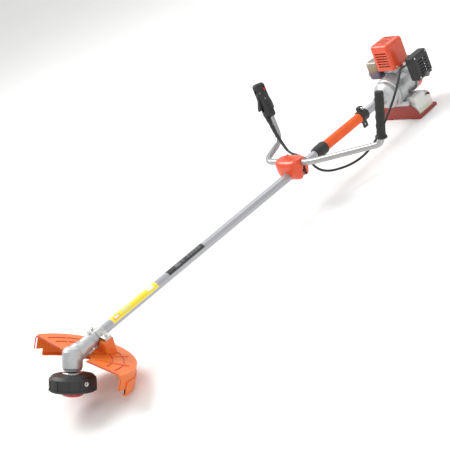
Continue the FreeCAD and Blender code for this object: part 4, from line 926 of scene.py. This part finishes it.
class TRIMMER_OT_cable(bpy.types.Operator):
    """Add the throttle cable's conduit on one smooth line"""

    bl_idname = "trimmer.cable"
    bl_label = "Throttle Cable"

    def execute(self, context):
        route = MACHINE.at(cable_route())
        curve = bpy.data.curves.new("throttle_conduit", "CURVE")
        curve.dimensions = "3D"
        curve.bevel_depth = context.scene.trimmer_sizes.cable_radius
        curve.bevel_resolution = 6
        curve.resolution_u = 16
        curve.use_fill_caps = True
        spline = curve.splines.new("NURBS")
        spline.points.add(len(route) - 1)
        spline.points.foreach_set("co", np.c_[route, np.ones(len(route))].ravel())
        spline.use_endpoint_u = True
        spline.order_u = 3
        curve.materials.append(finish_for("black_soft"))
        cable = bpy.data.objects.new("throttle_conduit", curve)
        bpy.context.collection.objects.link(cable)
        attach(cable, "root")
        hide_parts("throttle_cable")
        self.taper(cable)
        return {"FINISHED"}

    def taper(self, cable):
        """The rubber taper over the conduit's first stretch, on points read from its spline."""
        line = cable.data.copy()
        line.bevel_depth = 0
        source = bpy.data.objects.new("line", line)
        mesh = bpy.data.meshes.new_from_object(source)
        points = np.empty(len(mesh.vertices) * 3)
        mesh.vertices.foreach_get("co", points)
        bpy.data.objects.remove(source)
        bpy.data.meshes.remove(mesh)
        points = points.reshape(-1, 3)
        run = np.concatenate([[0], np.cumsum(np.linalg.norm(np.diff(points, axis=0), axis=1))])
        steps = np.linspace(0, 0.105, 60)
        path = np.stack([np.interp(steps, run, points[:, axis]) for axis in range(3)], -1)
        share = steps / steps[-1]
        ribs = 0.25 * np.cos(share * 16 * 2 * math.pi) * (share < 0.5)
        radius = 6.4 - 2.1 * share + ribs
        world = Axes((0, 0, 0), (1, 0, 0), (0, 1, 0), (0, 0, 1))
        grid = tube_along(path / MM, (0.2, 0.9, 0.3), radius[:, None, None], world, 20)
        made("conduit_taper", [grid], "black_soft", "root")


def guard_arc(radius, height, sweep, count=80):
    """Points of an arc about the output axis, on the guard's axes."""
    angle = np.radians(np.linspace(-sweep, sweep, count))
    return np.stack([radius * np.cos(angle), radius * np.sin(angle), height + 0 * angle], -1)


class TRIMMER_OT_guard_beads(bpy.types.Operator):
    """Add the beads along the guard's two ends and the two ribs across its top, in a darker red of
    the guard's plastic that is painted shade along its edges
    """

    bl_idname = "trimmer.guard_beads"
    bl_label = "Guard Beads"

    def execute(self, context):
        bead = context.scene.trimmer_sizes.bead_radius / MM
        arcs = ((GUARD_RADIUS * 0.62, 74), (GUARD_RADIUS * 0.8, 78))
        grids = [tube_along(guard_arc(r, PLATE_TOP, s), (0, 0, 1), bead, GUARD) for r, s in arcs]
        bend = np.radians(np.linspace(90, 0, 16))
        corner = 13.0
        flat = np.linspace(56, GUARD_RADIUS - corner - 2, 30)
        edge = GUARD_RADIUS - 1
        reach = np.concatenate([flat, edge - corner + corner * np.cos(bend), [edge, edge]])
        rise = np.concatenate([
            0 * flat + PLATE_TOP - 1, PLATE_TOP - 1 - corner + corner * np.sin(bend),
            [-26, SKIRT_LOW + 1],
        ])
        for side in (-1, 1):
            turn = math.radians(84.4) * side
            path = np.stack([reach * math.cos(turn), reach * math.sin(turn), rise], -1)
            grids.append(tube_along(path, (-math.sin(turn), math.cos(turn), 0), bead, GUARD))
        # the beads and ribs take the darker red: painted shade along the guard's edges
        made("guard_beads", grids, "guard_edge", "root")
        return {"FINISHED"}


class TRIMMER_OT_line_eyelets(bpy.types.Operator):
    """Add the two metal eyelets that the line leaves the head through"""

    bl_idname = "trimmer.line_eyelets"
    bl_label = "Line Eyelets"

    def execute(self, context):
        profile = softened([
            (1.8, 0), (4.4, 0), (4.4, 4.3), (6.2, 4.6), (6.2, 6.2), (3.2, 6.2), (1.8, 4.6),
            (1.8, 0),
        ], 0.6)
        grids = []
        for side in (-1, 1):
            axes = CUTTER.along((0, side * 58, 66), (0, side, 0), (1, 0, 0))
            grids.append(spun(profile, axes, 40))
        made("line_eyelets", grids, "zinc", "cutter")
        return {"FINISHED"}


ROPE_SPOT = (-61.0, 25.0)
ROPE_EXIT = 50.0
ROPE_GAP = 5.0


class TRIMMER_OT_starter_rope(bpy.types.Operator):
    """Add the starter's rope"""

    bl_idname = "trimmer.starter_rope"
    bl_label = "Starter Rope"

    def execute(self, context):
        radius = context.scene.trimmer_sizes.rope_radius / MM
        share = np.concatenate([
            np.linspace(-1, 0, 10), np.linspace(0.002, 0.998, 420), np.linspace(1, 1.6, 8),
        ])
        height = ROPE_EXIT + ROPE_GAP * share
        x, y = ROPE_SPOT
        angle = np.linspace(0, 2 * math.pi, 18, endpoint=False)[None, :]
        strand = radius + 0.22 * np.abs(np.cos(1.5 * angle + share[:, None] * 130.0))
        rope = MACHINE.at(np.stack([
            x + strand * np.cos(angle), y + strand * np.sin(angle), height[:, None] + 0 * angle,
        ], -1))
        ends = [np.broadcast_to(rope[i].mean(0), (1, 18, 3)) for i in (0, -1)]
        grid = np.concatenate([ends[0], rope, ends[1]])
        piece = made("starter_rope", [grid], "rope", None)
        low, high = (tuple(MACHINE.at((x, y, ROPE_EXIT + rise))) for rise in (0, ROPE_GAP))
        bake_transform(piece)
        return {"FINISHED"}


def knob_swell(angle, height, radius):
    """The filter's knob: fifteen rounded flutes on its rim."""
    return np.where((radius > 7) & (height > 1.5), 0.5 * np.cos(15 * angle), 0)


class TRIMMER_OT_engine_trim(bpy.types.Operator):
    """Add the cover's screws, the filter's knob and the ribs along the engine's covers"""

    bl_idname = "trimmer.engine_trim"
    bl_label = "Engine Trim"

    def execute(self, context):
        screws = []
        for side in (-1, 1):
            for station in (-29, 29):
                axes = MACHINE.along((station, side * 39.4, 75), (0, side, 0), (0, 0, 1))
                screws.append(button_screw(axes, 0.8))
        for side in (-1, 1):
            for station in (-30, 30):
                axes = MACHINE.along((station, 98, 32 if side < 0 else 98), (0, 1, 0), (0, 0, 1))
                screws.append(button_screw(axes.moved((0, 0, 23.6)), 0.7))
        made("cover_screws", screws, "zinc", "root")
        knob_axes = MACHINE.along((0, 121.6, 30.5), (0, 1, 0), (0, 0, 1))
        knob = softened([(0, 9), (6.5, 9), (8.2, 7.4), (8.4, 2), (9.6, 0), (9.6, -2), (0, -2)], 1.2)
        grip = spun(knob, knob_axes, 120, knob_swell)
        made("filter_knob", [grip], "grey", "root")
        ribs = []
        for station in np.linspace(-27, 27, 4):
            path = np.array([(station, y, 158.0) for y in np.linspace(-24, 24, 20)])
            ribs.append(tube_along(path, (0, 0, 1), 0.9, MACHINE))
        made("cover_ribs", ribs, "gloss_orange", "root")
        return {"FINISHED"}


class TRIMMER_OT_paint(bpy.types.Operator):
    """Give every part of the frame its own detailed finish"""

    bl_idname = "trimmer.paint"
    bl_label = "Paint Parts"

    def execute(self, context):
        left = set(frame["nodes"])
        for key, names in PAINT.items():
            for name in names:
                node = frame["nodes"][name]
                for index in range(len(node.material_slots)):
                    node.material_slots[index].material = finish_for(key)
                left.discard(name)
        if left:
            raise RuntimeError("parts without a finish: %s" % sorted(left))
        return {"FINISHED"}


CAMERA_PLACE = (2789.8, 2611.5, 1335.5)
CAMERA_AZIMUTH = 53.94
CAMERA_ELEVATION = 22.3
CAMERA_ROLL = -24.15
CAMERA_LENS = 96.53
SENSOR = 36.0
FLOOR_DROP = 0.0004
FLOOR_REACH = 9.0
FLOOR_LINES = 13
WORLD_LIGHT = 0.8
LIGHT_TARGET = Vector((0.7, 0.0, 0.1))
LIGHTS = (
    ("key", (1.1, -1.9, 2.6), 1.6, 70), ("fill", (2.6, 1.9, 2.2), 2.4, 16),
    ("back", (-1.6, -0.6, 2.4), 2.0, 20),
)


def camera_turn():
    """The camera's right, up and back: azimuth and elevation aim it, then it rolls."""
    azimuth, elevation, roll = np.radians((CAMERA_AZIMUTH, CAMERA_ELEVATION, CAMERA_ROLL))
    ahead = np.array([np.cos(azimuth), np.sin(azimuth), 0]) * np.cos(elevation)
    back = ahead + (0, 0, np.sin(elevation))
    level = np.array([-np.sin(azimuth), np.cos(azimuth), 0])
    right = np.cos(roll) * level + np.sin(roll) * np.cross(back, level)
    return Matrix([MACHINE.way(v) for v in (right, np.cross(back, right), back)]).transposed()


class TRIMMER_OT_stage(bpy.types.Operator):
    """Set out the floor, the soft lights and the camera"""

    bl_idname = "trimmer.stage"
    bl_label = "Studio Stage"

    def execute(self, context):
        scene = context.scene
        side = np.linspace(-FLOOR_REACH, FLOOR_REACH, FLOOR_LINES)
        x, y = np.meshgrid(side, side)
        mesh = bpy.data.meshes.new("floor")
        points = np.stack([x, y, 0 * x - FLOOR_DROP], -1).reshape(-1, 3)
        faces = quads(FLOOR_LINES, FLOOR_LINES, False)
        mesh.from_pydata(points.tolist(), [], faces.tolist())
        mesh.materials.append(finish_for("floor"))
        floor = bpy.data.objects.new("floor", mesh)
        scene.collection.objects.link(floor)
        world = bpy.data.worlds.new("studio")
        world.use_nodes = True
        sky = world.node_tree.nodes["Background"].inputs
        sky["Color"].default_value = (1, 1, 1, 1)
        sky["Strength"].default_value = WORLD_LIGHT
        scene.world = world
        scene.view_settings.view_transform = "Standard"
        for name, place, size, power in LIGHTS:
            light = bpy.data.lights.new(name, "AREA")
            light.size = size
            light.energy = power
            lamp = bpy.data.objects.new(name, light)
            lamp.location = place
            aim = LIGHT_TARGET - Vector(place)
            lamp.rotation_mode = "QUATERNION"
            lamp.rotation_quaternion = aim.to_track_quat("-Z", "Y")
            scene.collection.objects.link(lamp)
        lens = bpy.data.cameras.new("camera")
        lens.lens = CAMERA_LENS
        lens.sensor_width = SENSOR
        camera = bpy.data.objects.new("camera", lens)
        place = Matrix.Translation(MACHINE.at(CAMERA_PLACE))
        camera.matrix_world = place @ camera_turn().to_4x4()
        scene.collection.objects.link(camera)
        scene.camera = camera
        return {"FINISHED"}


STEPS = (
    TRIMMER_OT_stage, TRIMMER_OT_cable, TRIMMER_OT_paint, TRIMMER_OT_labels,
    TRIMMER_OT_clamp_cover, TRIMMER_OT_left_grip, TRIMMER_OT_throttle_ribs, TRIMMER_OT_sleeve,
    TRIMMER_OT_guard_beads, TRIMMER_OT_line_eyelets, TRIMMER_OT_starter_rope,
    TRIMMER_OT_engine_trim,
)


class TRIMMER_PT_panel(bpy.types.Panel):
    """The trimmer's steps and settings in the sidebar"""

    bl_idname = "TRIMMER_PT_panel"
    bl_label = "String Trimmer"
    bl_space_type = "VIEW_3D"
    bl_region_type = "UI"
    bl_category = "Trimmer"

    def draw(self, context):
        for group in (context.scene.trimmer_colours, context.scene.trimmer_sizes):
            box = self.layout.box()
            for name in group.__annotations__:
                box.prop(group, name)
        for step in STEPS:
            self.layout.operator(step.bl_idname)


CLASSES = (TrimmerColours, TrimmerSizes, *STEPS, TRIMMER_PT_panel)


def register():
    """Register every class and hang the settings on the scene."""
    for cls in CLASSES:
        bpy.utils.register_class(cls)
    bpy.types.Scene.trimmer_colours = bpy.props.PointerProperty(type=TrimmerColours)
    bpy.types.Scene.trimmer_sizes = bpy.props.PointerProperty(type=TrimmerSizes)


def unregister():
    """Take the settings and every class away again."""
    del bpy.types.Scene.trimmer_sizes
    del bpy.types.Scene.trimmer_colours
    for cls in reversed(CLASSES):
        bpy.utils.unregister_class(cls)


def main():
    """Run every step in order."""
    register()
    for step in STEPS:
        group, name = step.bl_idname.split(".")
        getattr(getattr(bpy.ops, group), name)()


if __name__ == "__main__":
    main()
